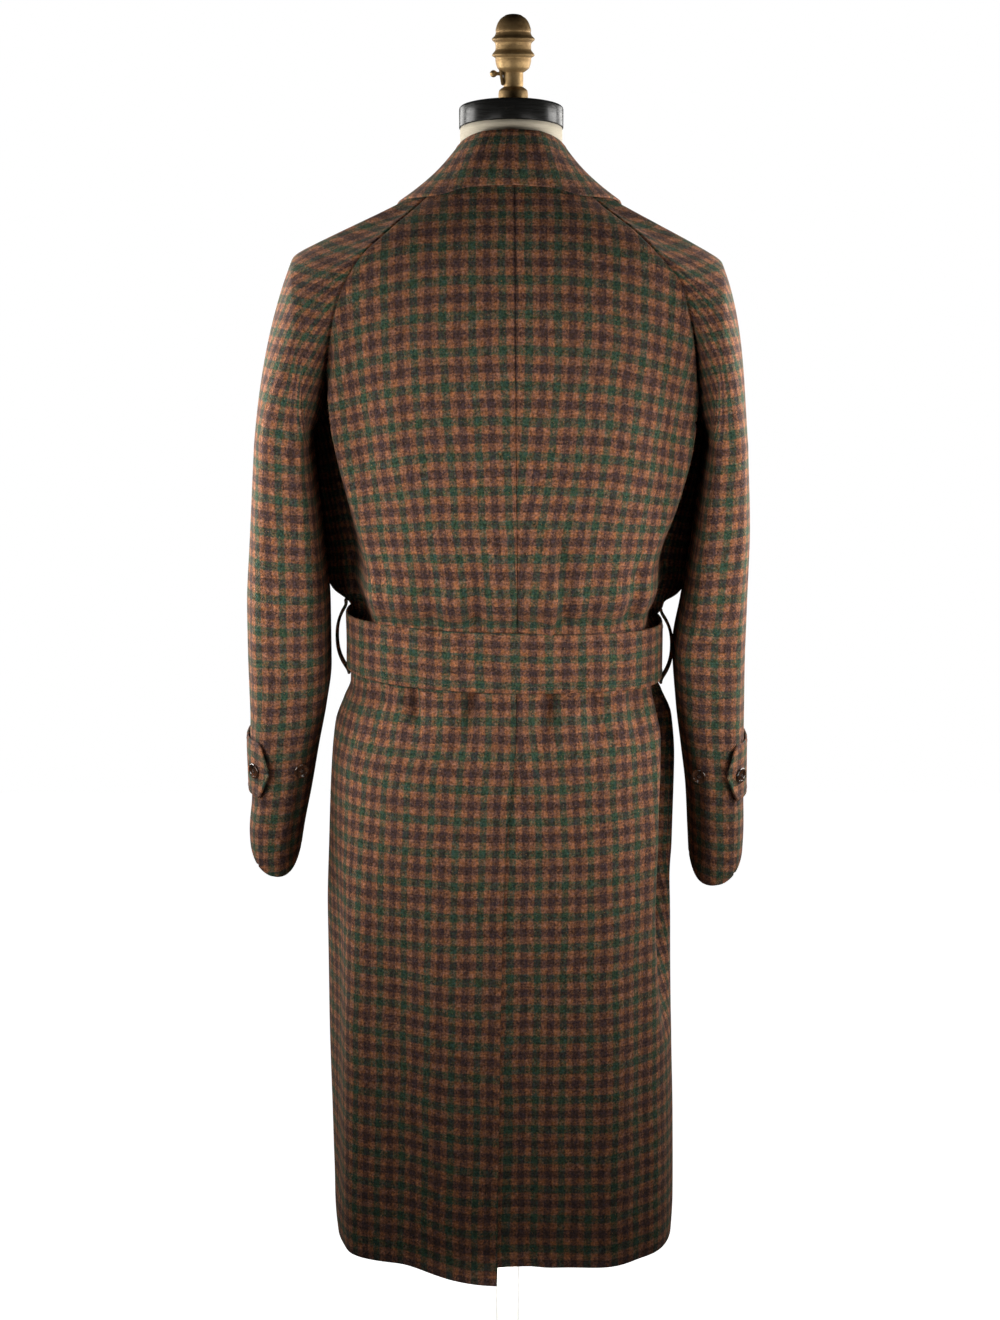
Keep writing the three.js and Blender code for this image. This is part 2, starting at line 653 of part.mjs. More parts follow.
/** A slide buckle: a frame whose middle bar lies under the belt's free end. */
function buckleGeometry() {
  const [halfWide, halfHigh, side, depth] = [34, HALF_BELT + 8, 6, 9.4];
  const plate = (x, z, wide, high, from, to) => toSolid(
    new THREE.BoxGeometry(wide, to - from, high).translate(x, -(from + to) / 2, z));
  const edges = [-1, 1].map((sign) => plate(0, sign * (halfHigh - 3), 2 * halfWide, 6, 0, depth));
  const posts = [-1, 1].map((sign) => plate(sign * (halfWide - side / 2), 0, side,
    2 * halfHigh, depth - BAR_THICKNESS, depth));
  const bar = plate(0, 0, 7, 2 * halfHigh, 0, BAR_THICKNESS);
  return fromSolid([...edges, ...posts].reduce((solid, piece) => solid.add(piece), bar));
}
const buckle = add('buckle', buckleGeometry(), HORN);
const buckleSeat = onBelt(Math.PI, 0, BELT_WALL + 0.4);
buckle.position.copy(buckleSeat.point);

/** A thin carrier at the side, standing off the belt in a bow. */
function loopGeometry(side) {
  const [width, thickness, reach, bow] = [9, 1.8, 40, 15];
  const angle = side * Math.PI / 2;
  const middle = beltCentre(angle);
  const knots = [-reach, -reach * 0.72, 0, reach * 0.72, reach].map((v) => {
    const rise = bow * (1 - (Math.abs(v) / reach) ** 2.4);
    const base = Math.abs(bodyPoint(angle, middle + v).x) + thickness / 2 + 0.9;
    return new THREE.Vector2(Math.max(base, Math.abs(bodyPoint(angle, middle).x) + rise), middle + v);
  });
  const course = new THREE.SplineCurve(knots).getPoints(14);
  const offset = (sign) => course.map((point, i) => {
    const ahead = course[Math.min(i + 1, course.length - 1)].clone();
    const way = ahead.sub(course[Math.max(i - 1, 0)]).normalize();
    const reach = sign * thickness / 2;
    return new THREE.Vector2(point.x + way.y * reach, point.y - way.x * reach);
  });
  const outline = new THREE.Shape([...offset(1), ...offset(-1).reverse()]);
  const geometry = new THREE.ExtrudeGeometry(outline, { depth: width, bevelEnabled: false });
  geometry.translate(0, 0, -width / 2).rotateX(Math.PI / 2);
  if (side < 0) geometry.rotateZ(Math.PI);
  return geometry;
}
add('belt_loop_left', loopGeometry(1), WOOL_DARK);
add('belt_loop_right', loopGeometry(-1), WOOL_DARK);

// ------------------------------------------------------------- buttons

/** A dished four-hole style button without its holes, standing on its back. */
function buttonGeometry(radius) {
  const [height, rim] = [radius * 0.26 + 0.8, radius * 0.17];
  return turned([
    [0, 0], [radius * 0.8, 0], [radius, height * 0.45], [radius - rim * 0.5, height],
    [radius - rim * 1.5, height], [radius - rim * 2.4, height * 0.66], [0, height * 0.66],
  ], 12);
}

const FRONT_BUTTON_ROWS = [1282, 1166, 1000];
const FRONT_BUTTON_REACH = 68;
FRONT_BUTTON_ROWS.forEach((z, row) => {
  for (const [which, side] of Object.entries(SIDES)) {
    const x = NECK_X + side * FRONT_BUTTON_REACH;
    const place = onBody(angleAt(x, z, true), z, OVERLAP_RISE);
    const name = `front_button_${which}_${row + 1}`;
    seat(add(name, buttonGeometry(BUTTON_RADIUS), HORN), place, 0.1);
  }
});

// -------------------------------------------------------- sleeve tabs

/** A point on a hanging sleeve with its outward normal, moved out by lift. */
function onArm(which, turn, z, lift) {
  const around = armPoint(which, turn + 0.02, z).sub(armPoint(which, turn - 0.02, z));
  const upward = armPoint(which, turn, z + 3).sub(armPoint(which, turn, z - 3));
  const normal = around.cross(upward).normalize().multiplyScalar(-SIDES[which]);
  return { point: armPoint(which, turn, z).addScaledVector(normal, lift), normal };
}

const TAB_HALF_HEIGHT = 31;
const TAB_LIFT = 1.2;
const TAB_TURNS = [101, 107, 114, 127, 140, 153, 166, 180, 194, 208, 222, 236];
const TAB_TIP_HEIGHT = [0.08, 0.55, 1];
const TAB_Z = { left: 953, right: 950 };
const SLEEVE_BUTTONS = {
  left: [['tab_button_left', 124, 952, true], ['sleeve_button_left', 60, 953, false]],
  right: [['tab_button_right', 123, 947, true], ['sleeve_button_right', 63, 947, false]],
};

for (const which of Object.keys(SIDES)) {
  const grid = [-1, 0, 1].map((v) => TAB_TURNS.map((turn, i) => {
    const half = TAB_HALF_HEIGHT * (TAB_TIP_HEIGHT[i] ?? 1);
    return onArm(which, turn * RAD, TAB_Z[which] + v * half, TAB_LIFT + CLOTH);
  }));
  add(`tab_${which}`, wall(grid), WOOL);
  for (const [name, turn, z, onTab] of SLEEVE_BUTTONS[which]) {
    const mesh = add(name, buttonGeometry(SLEEVE_BUTTON_RADIUS), HORN);
    seat(mesh, onArm(which, turn * RAD, z, onTab ? TAB_LIFT + CLOTH : 0), 0.6);
  }
}

// ---------------------------------------------------------- dress form

// Half sizes of the form's sections below the chest; above it they follow the coat.
const formRing = table(['z', 'side', 'back', 'front'], [
  [TORSO_FLOOR_Z, 150, 110, 112],
  [960, 155, 113, 113],
  [1040, 140, 103, 106],
  [1088, 134, 98, 102],
  [1160, 143, 104, 108],
  [1260, 158, 112, 114],
  [1335, 168, 117, 114],
]);
const FORM_ROWS = [TORSO_FLOOR_Z, 960, 1040, 1088, 1160, 1260, 1335,
  1385, 1438, 1466, 1494, 1520, 1545, 1568];
const FORM_COLUMNS = 36;
const SHOULDER_REACH = 182;
const around = range(FORM_COLUMNS).map((i) => (i / FORM_COLUMNS) * 2 * Math.PI);

function formSection(z) {
  if (z <= 1335) return formRing(z);
  const coatRing = bodyRing(z);
  const inset = CLOTH + FORM_CLEARANCE;
  const neck = smooth((z - 1545) / 23);
  const sideways = Math.min(coatRing.left, coatRing.right) - lerp(26, 19, neck);
  return {
    side: Math.min(SHOULDER_REACH, sideways),
    back: coatRing.back - inset - 6 * neck,
    front: coatRing.front - inset - 2 - 2 * neck,
  };
}

function formPoint(angle, z) {
  const { side, back, front } = formSection(z);
  const [s, c] = [Math.sin(angle), Math.cos(angle)];
  const bow = 2 / 2.3;
  const shift = NECK_X * smooth((z - 1500) / 60);
  return V(shift + Math.sign(s) * side * Math.abs(s) ** bow,
    Math.sign(c) * (c > 0 ? back : front) * Math.abs(c) ** bow, z);
}

const neckPoint = (angle, radius, z, tilt) => {
  const [x, y] = [radius * Math.sin(angle), radius * Math.cos(angle)];
  return V(NECK_X + x, y, z + y * tilt);
};

add('form_torso', lofted([
  ...FORM_ROWS.map((z) => around.map((angle) => formPoint(angle, z))),
  around.map((angle) => neckPoint(angle, NECK_RADIUS - 1, 1592, NECK_TILT / 2)),
  around.map((angle) => neckPoint(angle, NECK_RADIUS - 1, NECK_TOP_Z - SEAM_PULL, NECK_TILT)),
]), LINEN);

const CAP_BOSS_RADIUS = 17;
const CAP_BOSS_RISE = 4;
const capTop = NECK_TOP_Z + CAP_HEIGHT;
const bossRing = (radius, z) => around.map((angle) => neckPoint(angle, radius, z, 0));
add('neck_cap', lofted([
  around.map((angle) => neckPoint(angle, NECK_RADIUS, NECK_TOP_Z + SEAM_PULL, NECK_TILT)),
  around.map((angle) => neckPoint(angle, NECK_RADIUS, capTop - 1, NECK_TILT)),
  around.map((angle) => neckPoint(angle, NECK_RADIUS - 1, capTop, NECK_TILT)),
  around.map((angle) => neckPoint(angle, CAP_BOSS_RADIUS + 8, capTop + 0.5, NECK_TILT)),
  bossRing(CAP_BOSS_RADIUS + 1, capTop + CAP_BOSS_RISE - 1),
  bossRing(CAP_BOSS_RADIUS, capTop + CAP_BOSS_RISE),
]), CAP_BLACK);

// ------------------------------------------------- finial and its screw

const FINIAL_X = -5;
const FINIAL_FOOT_Z = capTop + CAP_BOSS_RISE + 0.3;
const SCREW_Z = 1672.3;
const SCREW_RADIUS = 1.9;
const SCREW_START = 4;      // where the screw's tip lies, from the finial's axis
const BALL_RADIUS = 3.6;
const BALL_REACH = 20;
const EAR = { thickness: 3.2, width: 12, height: 23, reach: 12.4, lean: 9 * RAD };

// The turned brass finial: dome, two sharp rings, bulb, clamp and flange.
const FINIAL_PROFILE = [
  [0, FINIAL_FOOT_Z], [15, FINIAL_FOOT_Z], [15, 1651], [14.4, 1655.5], [12, 1658], [9.6, 1659.6],
  [10.1, 1661], [10.1, 1673.4], [11.6, 1674.2], [16.2, 1678], [18, 1684.6], [18, 1687.4],
  [21.6, 1690], [18, 1696], [17.9, 1699.5], [18.4, 1702], [21.8, 1705.7], [18.6, 1709.5],
  [17.6, 1712.6], [17.9, 1713.6], [16.4, 1720], [13, 1725.6], [7.6, 1729.4], [0, 1730.5],
];

const alongX = (radius, from, to, segments) => new THREE.CylinderGeometry(
  radius, radius, to - from, segments).rotateZ(Math.PI / 2).translate((from + to) / 2, 0, SCREW_Z);

function finialGeometry() {
  const ear = new THREE.BoxGeometry(EAR.thickness, EAR.width, EAR.height)
    .rotateY(EAR.lean).translate(EAR.reach, 0, SCREW_Z);
  const bore = alongX(SCREW_RADIUS + 0.35, SCREW_START - 0.4, 30, 16);
  return fromSolid(toSolid(turned(FINIAL_PROFILE, 20)).add(toSolid(ear)).subtract(toSolid(bore)));
}
add('finial', finialGeometry(), BRASS).position.set(FINIAL_X, 0, 0);

/** The thumb screw, turned about its own axis and laid along +X. */
const screwProfile = [
  [0, SCREW_START], [SCREW_RADIUS, SCREW_START], [SCREW_RADIUS, BALL_REACH - 3],
  ...[-50, -20, 10, 40, 65].map((lean) => [
    BALL_RADIUS * Math.cos(lean * RAD), BALL_REACH + BALL_RADIUS * Math.sin(lean * RAD)]),
  [0, BALL_REACH + BALL_RADIUS],
];
const screw = turned(screwProfile, 16).rotateY(Math.PI / 2);
add('thumb_screw', screw, BRASS).position.set(FINIAL_X, 0, SCREW_Z);

// --------------------------------------------------------------- stand

const COLLAR_RADIUS = 24;
add('pole', turned([
  [0, BASE_HEIGHT + 0.3], [POLE_RADIUS, BASE_HEIGHT + 0.3], [POLE_RADIUS, TORSO_FLOOR_Z - 0.3],
  [0, TORSO_FLOOR_Z - 0.3],
], 24), ENAMEL);
add('pole_collar', turned([
  [POLE_RADIUS + 0.3, BASE_HEIGHT + 0.3], [COLLAR_RADIUS, BASE_HEIGHT + 0.3],
  [COLLAR_RADIUS - 2, BASE_HEIGHT + 14], [POLE_RADIUS + 3, BASE_HEIGHT + 34],
  [POLE_RADIUS + 0.3, BASE_HEIGHT + 34], [POLE_RADIUS + 0.3, BASE_HEIGHT + 0.3],
], 24), ENAMEL);
add('base', turned([
  [0, 0], [BASE_RADIUS, 0], [BASE_RADIUS, BASE_HEIGHT - 8], [BASE_RADIUS - 6, BASE_HEIGHT - 3],
  [60, BASE_HEIGHT], [0, BASE_HEIGHT],
], 40), IRON);

export default coat;
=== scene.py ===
"""Double-breasted belted overcoat on a dress form: the visual model.

Lengths in the sizes are millimetres, +Z up, the coat's front facing -Y and the
wearer's left at +X, as in the frame. Meshes are handed over in metres.
"""

import logging
import math
from dataclasses import dataclass, field
from enum import Enum
from typing import Sequence

import bmesh
import bpy
import numpy as np
from mathutils import Matrix, Vector

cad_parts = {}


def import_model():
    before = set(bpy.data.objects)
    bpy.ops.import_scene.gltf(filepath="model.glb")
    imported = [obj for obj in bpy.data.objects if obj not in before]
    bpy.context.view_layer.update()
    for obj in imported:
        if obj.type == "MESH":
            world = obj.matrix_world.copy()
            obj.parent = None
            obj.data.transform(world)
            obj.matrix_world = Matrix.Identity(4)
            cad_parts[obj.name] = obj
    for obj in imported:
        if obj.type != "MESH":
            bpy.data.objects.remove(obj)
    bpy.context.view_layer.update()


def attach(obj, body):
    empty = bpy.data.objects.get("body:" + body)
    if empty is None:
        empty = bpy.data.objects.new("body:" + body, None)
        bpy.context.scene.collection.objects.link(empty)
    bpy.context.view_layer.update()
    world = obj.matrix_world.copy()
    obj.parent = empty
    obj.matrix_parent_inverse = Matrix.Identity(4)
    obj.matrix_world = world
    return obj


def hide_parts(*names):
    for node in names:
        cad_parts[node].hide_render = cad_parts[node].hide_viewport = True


log = logging.getLogger("overcoat")

MM = 0.001
CLOTH = 2.4            # wall of the wool coating
SEAM_PULL = 0.3        # each sewn edge stays this far back from its seam line
LAYER_GAP = 0.5        # between a panel and what lies on it
OVERLAP_RISE = 4.2     # how far the left front stands off the right one
REPEAT_ACROSS = 28.5   # width of one repeat of the check
REPEAT_ALONG = 34.5    # height of one repeat of the check
CAP_ROWS = 28          # rows of a sleeve between its raglan seam and the shoulder
NECK_X = -3.0          # the neck stands this far towards the wearer's right

Array = np.ndarray
Piece = bpy.types.Object
Material = bpy.types.Material
Socket = bpy.types.NodeSocket
Line = tuple[tuple[float, float], ...]      # points (across, height) on a panel
Profile = Sequence[tuple[float, float]]     # (radius, height) pairs of a turned piece


class Side(Enum):
    """The two halves of the coat; the value is the sign of X."""

    LEFT = 1
    RIGHT = -1

    @property
    def word(self) -> str:
        """The side's name in piece names."""
        return self.name.lower()


def smooth(t: Array) -> Array:
    """A soft step from 0 to 1."""
    t = np.clip(t, 0.0, 1.0)
    return t * t * (3 - 2 * t)


def unit(vectors: Array) -> Array:
    """The vectors at length one."""
    return vectors / np.maximum(np.linalg.norm(vectors, axis=-1, keepdims=True), 1e-9)


def signed_power(values: Array, power: Array | float) -> Array:
    """The values raised to a power, each keeping its sign."""
    return np.sign(values) * np.abs(values) ** power


def travelled(points: Array, axis: int = 0) -> Array:
    """Distance from the first point along one axis of a line or a grid."""
    run = np.cumsum(np.linalg.norm(np.diff(points, axis=axis), axis=-1), axis=axis)
    return np.insert(run, 0, 0.0, axis=axis)


def pair(first: Array, second: Array) -> Array:
    """Two values at each place, such as where it lies in the check."""
    return np.stack(np.broadcast_arrays(first, second), -1)


def level_way(turn: Array, climb: float = 0.0) -> Array:
    """Directions at angles round the body, 0 straight back, with a share of climb."""
    return np.stack([np.sin(turn), np.cos(turn), climb + 0 * turn], -1)


def agreeing(normals: Array, guide: Array, each: bool = True) -> Array:
    """Normals turned to the guide's side, each for itself or all together."""
    match = np.sum(normals * guide, -1, keepdims=True) if each else np.sum(normals * guide)
    return normals * np.sign(match)


def put(name: str, data: bpy.types.ID) -> Piece:
    """Puts a mesh, light or camera in the scene under a name."""
    made = bpy.data.objects.new(name, data)
    bpy.context.scene.collection.objects.link(made)
    return made


def shade_smooth(mesh: bpy.types.Mesh) -> None:
    """Shades every face smooth."""
    mesh.polygons.foreach_set("use_smooth", [True] * len(mesh.polygons))


def finished(name: str, body: bmesh.types.BMesh) -> Piece:
    """Turns a body's faces outwards and makes it a smooth piece."""
    bmesh.ops.recalc_face_normals(body, faces=list(body.faces))
    mesh = bpy.data.meshes.new(name)
    body.to_mesh(mesh)
    body.free()
    shade_smooth(mesh)
    return put(name, mesh)


class Table:
    """Named columns over one driving value, joined smoothly without overshoot."""

    def __init__(self, columns: Sequence[str], rows: Sequence[Sequence[float]]) -> None:
        """Reads the rows.

        Args:
            columns: Names of the columns after the driving one.
            rows: Rows of the driving value and its columns, in rising order.
        """
        grid = np.array(rows, float)
        self.at = grid[:, 0]
        self.curves = {name: (grid[:, i + 1], self._slopes(grid[:, i + 1]))
                       for i, name in enumerate(columns)}

    def _slopes(self, ys: Array) -> Array:
        """Slopes at the knots that keep each stretch monotone."""
        secant = np.diff(ys) / np.diff(self.at)
        before, after = secant[:-1], secant[1:]
        level = before * after <= 0
        total = np.where(level, 1.0, before + after)
        inner = np.where(level, 0.0, 2 * before * after / total)
        return np.concatenate([secant[:1], inner, secant[-1:]])

    def __call__(self, name: str, x: Array) -> Array:
        """The named column at x."""
        ys, slope = self.curves[name]
        x = np.clip(np.asarray(x, float), self.at[0], self.at[-1])
        i = np.clip(np.searchsorted(self.at, x, side="right") - 1, 0, len(self.at) - 2)
        step = self.at[i + 1] - self.at[i]
        t = (x - self.at[i]) / step
        bend = step * (t - 1) * t * (slope[i] * (t - 1) + slope[i + 1] * t)
        return ys[i] + (ys[i + 1] - ys[i]) * t * t * (3 - 2 * t) + bend


def table(columns: str, *rows: tuple[float, ...]) -> Table:
    """A table as a class's starting value; columns are its names in one string."""
    return field(default_factory=lambda: Table(columns.split(), rows))


def each(left: object, right: object) -> dict[Side, object]:
    """A value for each side, as a class's starting value."""
    return field(default_factory=lambda: {Side.LEFT: left, Side.RIGHT: right})


@dataclass(frozen=True)
class Crease:
    """A soft ridge or trough along a line on the cloth.

    The line's points are (across, height) in the panel's own sizes. It stands out
    by rise, or sinks in where rise is negative, and dies away over near on one
    side of the line and far on the other.
    """

    line: Line
    rise: float
    near: float
    far: float = 0.0
    fade: float = 0.3      # share of the line over which each end dies away
    start: float = 0.0     # strength left at the line's first point
    end: float = 0.0       # strength left at its last point

    def height(self, across: Array, up: Array) -> Array:
        """How far the cloth stands out at each place.

        Args:
            across: Places across the panel.
            up: Heights of the same places.

        Returns:
            The rise at each place.
        """
        points = np.array(self.line, float)
        lengths = np.linalg.norm(np.diff(points, axis=0), axis=1)
        total = lengths.sum()
        best = np.full(np.shape(across), np.inf)
        signed = np.zeros(np.shape(across))
        along = np.zeros(np.shape(across))
        travelled = 0.0
        for (ax, ay), (bx, by), length in zip(points[:-1], points[1:], lengths):
            dx, dy = (bx - ax) / length, (by - ay) / length
            reach = np.clip((across - ax) * dx + (up - ay) * dy, 0, length)
            ox, oy = across - ax - reach * dx, up - ay - reach * dy
            distance = np.hypot(ox, oy)
            nearer = distance < best
            best = np.where(nearer, distance, best)
            signed = np.where(nearer, np.sign(dx * oy - dy * ox) * distance, signed)
            along = np.where(nearer, (travelled + reach) / total, along)
            travelled += length
        wide = np.where(signed < 0, self.near, self.far or self.near)
        rise_in = self.start + (1 - self.start) * smooth(along / self.fade)
        rise_out = self.end + (1 - self.end) * smooth((1 - along) / self.fade)
        return self.rise * np.exp(-(signed / wide) ** 2) * rise_in * rise_out


def gathered(line: Line, rise: float, near: float, far: float = 0.0, fade: float = 0.6) -> Crease:
    """A fold that the belt's upper edge gathers; its line runs down to the belt."""
    return Crease(line, rise, near, far, fade, end=1.0)


def tucked(line: Line, rise: float, near: float, far: float = 0.0, fade: float = 0.8) -> Crease:
    """A tuck held by the belt's lower edge; its line runs down from the belt."""
    return Crease(line, rise, near, far, fade, start=1.0)


def hanging(line: Line, rise: float, near: float, far: float = 0.0, end: float = 0.9) -> Crease:
    """A slow wave that is still open at its lower end."""
    return Crease(line, rise, near, far, 0.5, end=end)


def drag(line: Line, rise: float, near: float, far: float = 0.0, fade: float = 0.5) -> Crease:
    """A soft drag that dies away at both ends."""
    return Crease(line, rise, near, far, fade)


def relief(creases: Sequence[Crease], across: Array, up: Array) -> Array:
    """The creases' heights added together."""
    total = np.zeros(np.shape(across))
    for crease in creases:
        total = total + crease.height(across, up)
    return total


def grid_normals(points: Array, closed: bool = False) -> Array:
    """Unit normals of a grid from its neighbours, rows first.

    Args:
        points: Grid of points, (rows, columns, 3).
        closed: Whether the columns run round and meet.

    Returns:
        One normal for each point, along rows cross columns.
    """
    if closed:
        around = np.roll(points, -1, axis=1) - np.roll(points, 1, axis=1)
    else:
        around = np.gradient(points, axis=1)
    return unit(np.cross(around, np.gradient(points, axis=0)))


def steps(count: int) -> Array:
    """Even shares from 0 to 1."""
    return np.linspace(0.0, 1.0, count + 1)


def full_turn(count: int) -> Array:
    """Even angles once round, from 0."""
    return np.linspace(0, 2 * np.pi, count + 1)[:-1]


def seam_steps(length: float, pitch: float, first: bool = True, last: bool = True) -> Array:
    """Shares across a panel, close together beside its sewn edges.

    Args:
        length: Rough width of the panel.
        pitch: Spacing away from the edges.
        first: Whether the first edge is sewn.
        last: Whether the last edge is sewn.

    Returns:
        Rising shares from 0 to 1.
    """
    close = np.array([0.0, 0.8, 1.8, 3.2, 5.5])
    start = close if first else close[:1]
    end = length - (close if last else close[:1])[::-1]
    count = max(2, int(round((end[0] - start[-1]) / pitch)))
    middle = np.linspace(start[-1], end[0], count + 1)[1:-1]
    return np.concatenate([start, middle, end]) / length


@dataclass
class Cloth:
    """A finished piece of cloth and the size it was cut to, in metres."""

    piece: Piece
    width: float
    length: float
    area: float


# A grid's four edges, each with the line next to it: first column, last column,
# first row, last row.
EDGES = ((np.s_[:, 0], np.s_[:, 1]), (np.s_[:, -1], np.s_[:, -2]),
         (np.s_[0], np.s_[1]), (np.s_[-1], np.s_[-2]))


@dataclass
class ClothGrid:
    """A wall of cloth about to become a mesh."""

    points: Array                 # (rows, columns, 3), the outer face
    check: Array                  # (rows, columns, 2), the place in the check
    outward: Array                # unit normals of the outer face
    closed: bool = False
    wall: float = CLOTH
    askew: bool = False           # whether a deep fold makes some columns run askew

    @staticmethod
    def _sewn(distance: Array, depth: float = 1.9, reach: float = 2.0) -> Array:
        """How far a sewn edge turns in, by the distance from its seam."""
        return -depth * np.exp(-(distance / reach) ** 2)

    def roll_in(self, first: bool = False, last: bool = False,
                bottom: bool = False, top: bool = False) -> "ClothGrid":
        """Turns the named sewn edges in and pulls them back from the seam line."""
        across, up = travelled(self.points, 1), travelled(self.points)
        sink = np.zeros(self.points.shape[:2])
        for wanted, distance in ((first, across), (last, across[:, -1:] - across),
                                 (bottom, up), (top, up[-1:] - up)):
            if wanted:
                sink = np.minimum(sink, self._sewn(distance))
        moved = self.points.copy()
        for wanted, (edge, next_in) in zip((first, last, bottom, top), EDGES):
            if wanted:
                moved[edge] += SEAM_PULL * unit(moved[next_in] - moved[edge])
        self.points = moved + self.outward * sink[..., None]
        return self

    def mesh(self, name: str) -> Cloth:
        """Builds the closed wall, with rounded edges all round.

        Args:
            name: Name of the piece.

        Returns:
            The piece and its cut: its longest row, its area, and its longest column,
            or its middling one where a deep fold makes some run askew.
        """
        rows, columns = self.points.shape[:2]
        inner = self.points - self.outward * self.wall
        middle = (self.points + inner) / 2
        bulge = self.wall * 0.35
        spans = columns if self.closed else columns - 1
        wrap = np.arange(columns + 1) % columns
        index = np.arange(rows * columns).reshape(rows, columns)
        flat = self.check.reshape(-1, 2)
        if self.closed:
            gap = 2 * self.check[:, -1] - self.check[:, -2]
            flat = np.concatenate([flat, gap])
        base = rows * columns

        def quads(a: Array, b: Array, c: Array, d: Array) -> Array:
            """Four-sided faces from the numbers of their corners."""
            return np.stack([a, b, c, d], -1).reshape(-1, 4)

        lo, hi = slice(0, rows - 1), slice(1, rows)
        here, after = index, index[:, wrap[1:]]
        place_after = after.copy()
        if self.closed:
            place_after[:, -1] = base + np.arange(rows)
        cut = slice(0, spans)
        outer = quads(here[lo, cut], after[lo, cut], after[hi, cut], here[hi, cut])
        outer_place = quads(here[lo, cut], place_after[lo, cut],
                            place_after[hi, cut], here[hi, cut])
        faces, places = [outer, outer[:, ::-1] + base], [outer_place, outer_place[:, ::-1]]

        rims: list[tuple[Array, Array, bool]] = []
        if self.closed:
            rims.append((index[0], self.points[0] - self.points[1], True))
            rims.append((index[-1][::-1], (self.points[-1] - self.points[-2])[::-1], True))
        else:
            loop = np.concatenate([index[0, :-1], index[:-1, -1],
                                   index[-1, :0:-1], index[:0:-1, 0]])
            away = np.zeros_like(self.points)
            for edge, next_in in EDGES:
                away[edge] += unit(self.points[edge] - self.points[next_in])
            rims.append((loop, away.reshape(-1, 3)[loop], False))
        rim_points: list[Array] = []
        start = 2 * base
        for loop, away, ring in rims:
            rim_points.append(middle.reshape(-1, 3)[loop] + unit(away) * bulge)
            ids = start + np.arange(len(loop))
            turn = np.roll(np.arange(len(loop)), -1)
            faces.append(quads(loop[turn], loop, ids, ids[turn]))
            faces.append(quads(ids[turn], ids, loop + base, loop[turn] + base))
            place = loop.copy()
            next_place = loop[turn].copy()
            if ring:
                last = int(np.argmax(loop % columns == columns - 1))
                first_up = index[0][0] in loop
                row = 0 if first_up else rows - 1
                if first_up:
                    next_place[last] = base + row
                else:
                    place[(last - 1) % len(loop)] = base + row
            places.append(quads(next_place, place, place, next_place))
            places.append(quads(next_place, place, place, next_place))
            start += len(loop)
        points = np.concatenate([self.points.reshape(-1, 3), inner.reshape(-1, 3), *rim_points])
        piece = solid_mesh(name, points, np.concatenate(faces), flat, np.concatenate(places))
        ring = self.points
        if self.closed:
            ring = np.concatenate([ring, ring[:, :1]], axis=1)
        width = np.linalg.norm(np.diff(ring, axis=1), axis=2).sum(axis=1).max() * MM
        columns_up = np.linalg.norm(np.diff(self.points, axis=0), axis=2).sum(axis=0) * MM
        length = np.median(columns_up) if self.askew else columns_up.max()
        area = sum(face.area for face in piece.data.polygons) / 2
        return Cloth(piece, float(width), float(length), float(area))


def solid_mesh(name: str, points: Array, faces: Array, flat: Array | None = None,
               places: Array | None = None) -> Piece:
    """Makes a closed piece, its faces turned outwards.

    Args:
        name: Name of the piece.
        points: Its corners, in millimetres.
        faces: Corner numbers of its four-sided faces.
        flat: Places in the check, in millimetres.
        places: Numbers of those places, one for each corner of each face.

    Returns:
        The piece, in metres, shaded smooth.
    """
    corners = points[faces]
    wedge = np.einsum("ij,ij->i", corners[:, 0], np.cross(corners[:, 1], corners[:, 2]))
    wedge = wedge + np.einsum("ij,ij->i", corners[:, 0], np.cross(corners[:, 2], corners[:, 3]))
    if wedge.sum() < 0:
        faces = faces[:, ::-1]
        places = None if places is None else places[:, ::-1]
    mesh = bpy.data.meshes.new(name)
    mesh.vertices.add(len(points))
    mesh.vertices.foreach_set("co", (points * MM).ravel())
    mesh.loops.add(faces.size)
    mesh.loops.foreach_set("vertex_index", faces.ravel().astype(np.int32))
    mesh.polygons.add(len(faces))
    mesh.polygons.foreach_set("loop_start", np.arange(0, faces.size, 4, dtype=np.int32))
    mesh.update(calc_edges=True)
    if flat is not None and places is not None:
        layer = mesh.uv_layers.new(name="UVMap")
        layer.data.foreach_set("uv", (flat[places.ravel()] * MM).ravel())
    shade_smooth(mesh)
    mesh.validate()
    return put(name, mesh)


